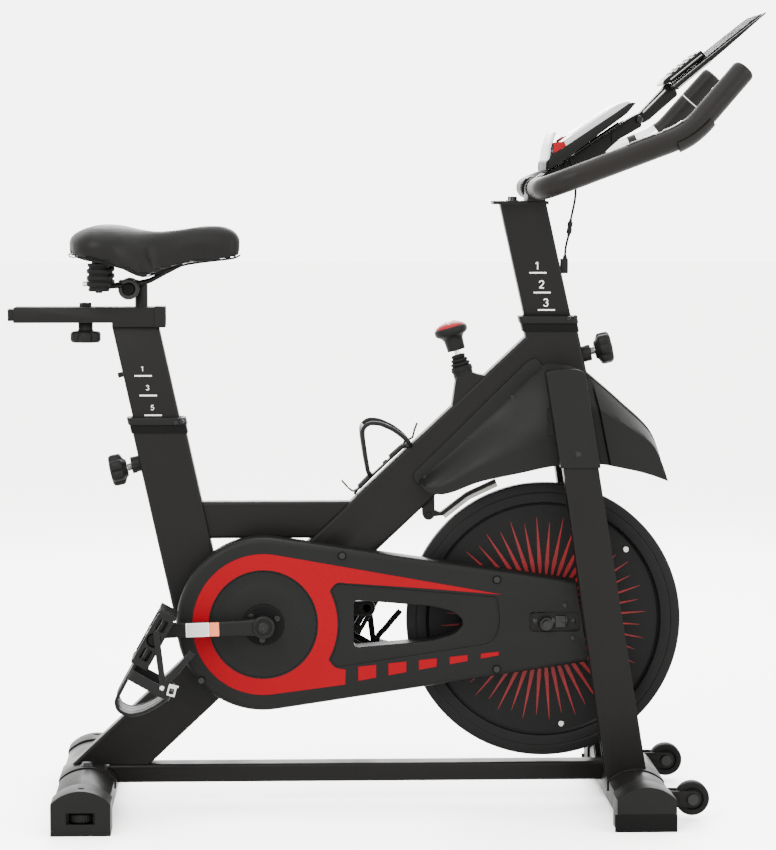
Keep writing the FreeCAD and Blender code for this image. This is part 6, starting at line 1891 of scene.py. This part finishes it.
def add_pedal(side_name, side):
    body = "pedal_" + side_name
    tip = joint_point(body + "_spin")
    start = 106 if side > 0 else -188
    place = Matrix.Translation(Vector((tip.x, start * MM, tip.z))) @ Matrix.Rotation(PEDAL_TURN, 4, "Y")
    turned_place = place @ Matrix.Rotation(math.radians(90), 4, "Z")
    outer = 0.0 if side < 0 else 82.0
    pieces = []

    def rail_loop():
        """Rail with teeth along both edges, as (across, up)."""
        top = []
        for number in range(9):
            base = 1.0 + number * 9.0
            top += [(base, 10.0), (base + 2.2, 13.6), (base + 5.4, 13.6), (base + 7.6, 10.0)]
        return metres(top + [(across, -up) for across, up in reversed(top)])

    for x in (-44, 38):
        pieces.append(plate(f"{body}_rail_{x}", [rail_loop()], -(x + 6) * MM, -x * MM, "toe_plastic", body,
                            "black_plastic", turned_place, bevel=0.9, segments=2))
    for y in (0, 74):
        cheek = eased([(-43, -9), (-36, -13), (36, -13), (43, -9), (43, 9), (36, 13), (-36, 13), (-43, 9)], 4)
        hollow = [[(-33, -7), (-15, -7), (-15, 7), (-33, 7)], [(15, -7), (33, -7), (33, 7), (15, 7)]]
        loops = [metres(cheek)] + [metres(eased(hole, 3)) for hole in hollow]
        pieces.append(plate(f"{body}_cheek_{y}", loops, y * MM, (y + 8) * MM, "toe_plastic", body,
                            "black_plastic",
                            place, bevel=0.8, segments=2))
    for y in (22, 50):
        pieces.append(box(f"{body}_rib_{y}", mm(-40, y, -8), mm(40, y + 4.5, 8), "toe_plastic", body,
                          "black_plastic", place, bevel=1.2))
    pieces.append(box(f"{body}_web", mm(-40, 4, -2.5), mm(40, 78, 2.5), "toe_plastic", body, "black_plastic",
                      place,
                      bevel=0.8))
    barrel = turned([(6.6, 0), (11.5, 0), (13.4, 2), (13.4, 30), (11.6, 33), (11.6, 49), (13.4, 52),
                     (13.4, 80),
                     (11.5, 82), (6.6, 82)], 1.0)
    pieces.append(lathe(body + "_barrel", barrel + [barrel[0]], place @ Vector((0, 0, 0)), Y_AXIS,
                        "toe_plastic", body,
                        "black_plastic", segments=48))
    join(body + "_frame", pieces, [body])
    cap = turned([(0, 1.6), (5, 1.6), (7.4, 1.0), (8.8, 0), (8.8, -3), (0, -3)], 0.5)
    lathe(body + "_cap", cap, place @ mm(0, outer, 0), Y_AXIS * side, "recess_plastic", body, "black_plastic",
          segments=36)
    clip = []
    line = [mm(44, 41, -6), mm(74, 41, -6), mm(105, 41, -5), mm(115, 41, 5), mm(114, 41, 22), mm(101, 41, 38),
            mm(83, 41, 50), mm(65.5, 41, 58.5)]
    path = [place @ point for point in eased(line, 9 * MM, closed=False, steps=5)]
    across = place.to_3x3() @ Y_AXIS

    def taper(share):
        return (1 - 0.16 * (1 - math.sin(math.pi * min(1.0, share * 1.1))), 1)

    normals = []
    for number in range(len(path)):
        heading = (path[min(number + 1, len(path) - 1)] - path[max(0, number - 1)]).normalized()
        normals.append(across.cross(heading).normalized())
    clip.append(sweep(f"{body}_cage", path, bar_section(39, 1.5, 1.0), normals, "toe_plastic", body,
                      "toe_plastic", scale=taper))
    for edge in (-1, 1):
        rim = [point + across * edge * 36.5 * MM for point in path]
        clip.append(sweep(f"{body}_cage_rim_{edge}", rim, circle(2.6 * MM, 10), normals, "toe_plastic", body,
                          "toe_plastic"))
        clip.append(sweep(f"{body}_cage_rib_{edge}", [point + across * edge * 12 * MM for point in path],
                          circle(2.0 * MM, 8), normals, "toe_plastic", body, "toe_plastic"))
    cage = join(body + "_toe_cage", clip)
    loop = eased([(-1.8, -6.8), (83.8, -6.8), (83.8, 60.8), (-1.8, 60.8)], 9, steps=6)
    ring = [place @ mm(60, point.x, point.y) for point in loop]
    long_axis = place.to_3x3() @ X_AXIS
    hoop = sweep(f"{body}_strap_hoop", ring, bar_section(1.1, 7.8, 0.6), long_axis, "strap_web", body,
                 "toe_plastic", closed=True)
    low = outer - 3.0 if side < 0 else outer + 0.6
    tongue = []
    side_loop = eased([(-17, -1), (-11, -7), (24, 17.5), (58, 44), (56, 53), (20, 26.5)],
                      [3, 3, 20, 2, 2, 20])
    tongue.append(plate(f"{body}_strap_side", [metres(side_loop)], low * MM, (low + 2.4) * MM, "strap_web",
                        body,
                        "toe_plastic", place, bevel=0.7))
    tail = [Vector(point) for point in ((62, 56), (50, 48.5), (38, 47), (24, 50.5), (9, 53), (-3, 55.5),
                                        (-11.5, 57))]
    spine = curve_through(tail, 5)
    swing = [place @ mm(point.x, low + 1.2 + side * 1.6 * math.sin(math.pi * number / (len(spine) - 1)),
                        point.y)
             for number, point in enumerate(spine)]
    tongue.append(sweep(f"{body}_strap_tail", swing, bar_section(4.4, 1.1, 0.6), across, "strap_web", body,
                        "toe_plastic"))
    join(body + "_straps", [hoop] + tongue)
    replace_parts(cage, "toe_clip_" + side_name)
    metal = []
    face = low - 0.2 if side < 0 else low + 2.6
    frame_loops = [metres(eased([(45, 50), (60, 54), (57, 66), (42, 62)], 1.5)),
                   metres(eased([(48.4, 53.6), (56.6, 55.8), (54.6, 62.6), (46.4, 60.4)], 1))]
    first, second = sorted((face, face + side * 3.0))
    metal.append(plate(f"{body}_buckle", frame_loops, first * MM, second * MM, "bright_steel", body,
                       "bright_steel",
                       place, bevel=0.5))
    roller = turned([(0, -1), (1.7, -1), (1.7, 13), (0, 13)], 0.3)
    metal.append(lathe(f"{body}_buckle_roller", roller, place @ mm(44.5, face + side * 1.8, 51.5),
                       place.to_3x3() @ Vector((-0.25, 0, 0.97)), "bright_steel", body, segments=16))
    rivet = turned([(0, 1.6), (2.4, 1.3), (3.6, 0.4), (3.8, 0), (0, -0.5)], 0.3)
    metal.append(lathe(f"{body}_rivet", rivet, place @ mm(54.5, face + side * 0.1, 44.0), Y_AXIS * side,
                       "bright_steel", body, segments=20))
    join(body + "_strap_metal", metal)


add_cranks()
for side_name, side in SIDES.items():
    add_pedal(side_name, side)
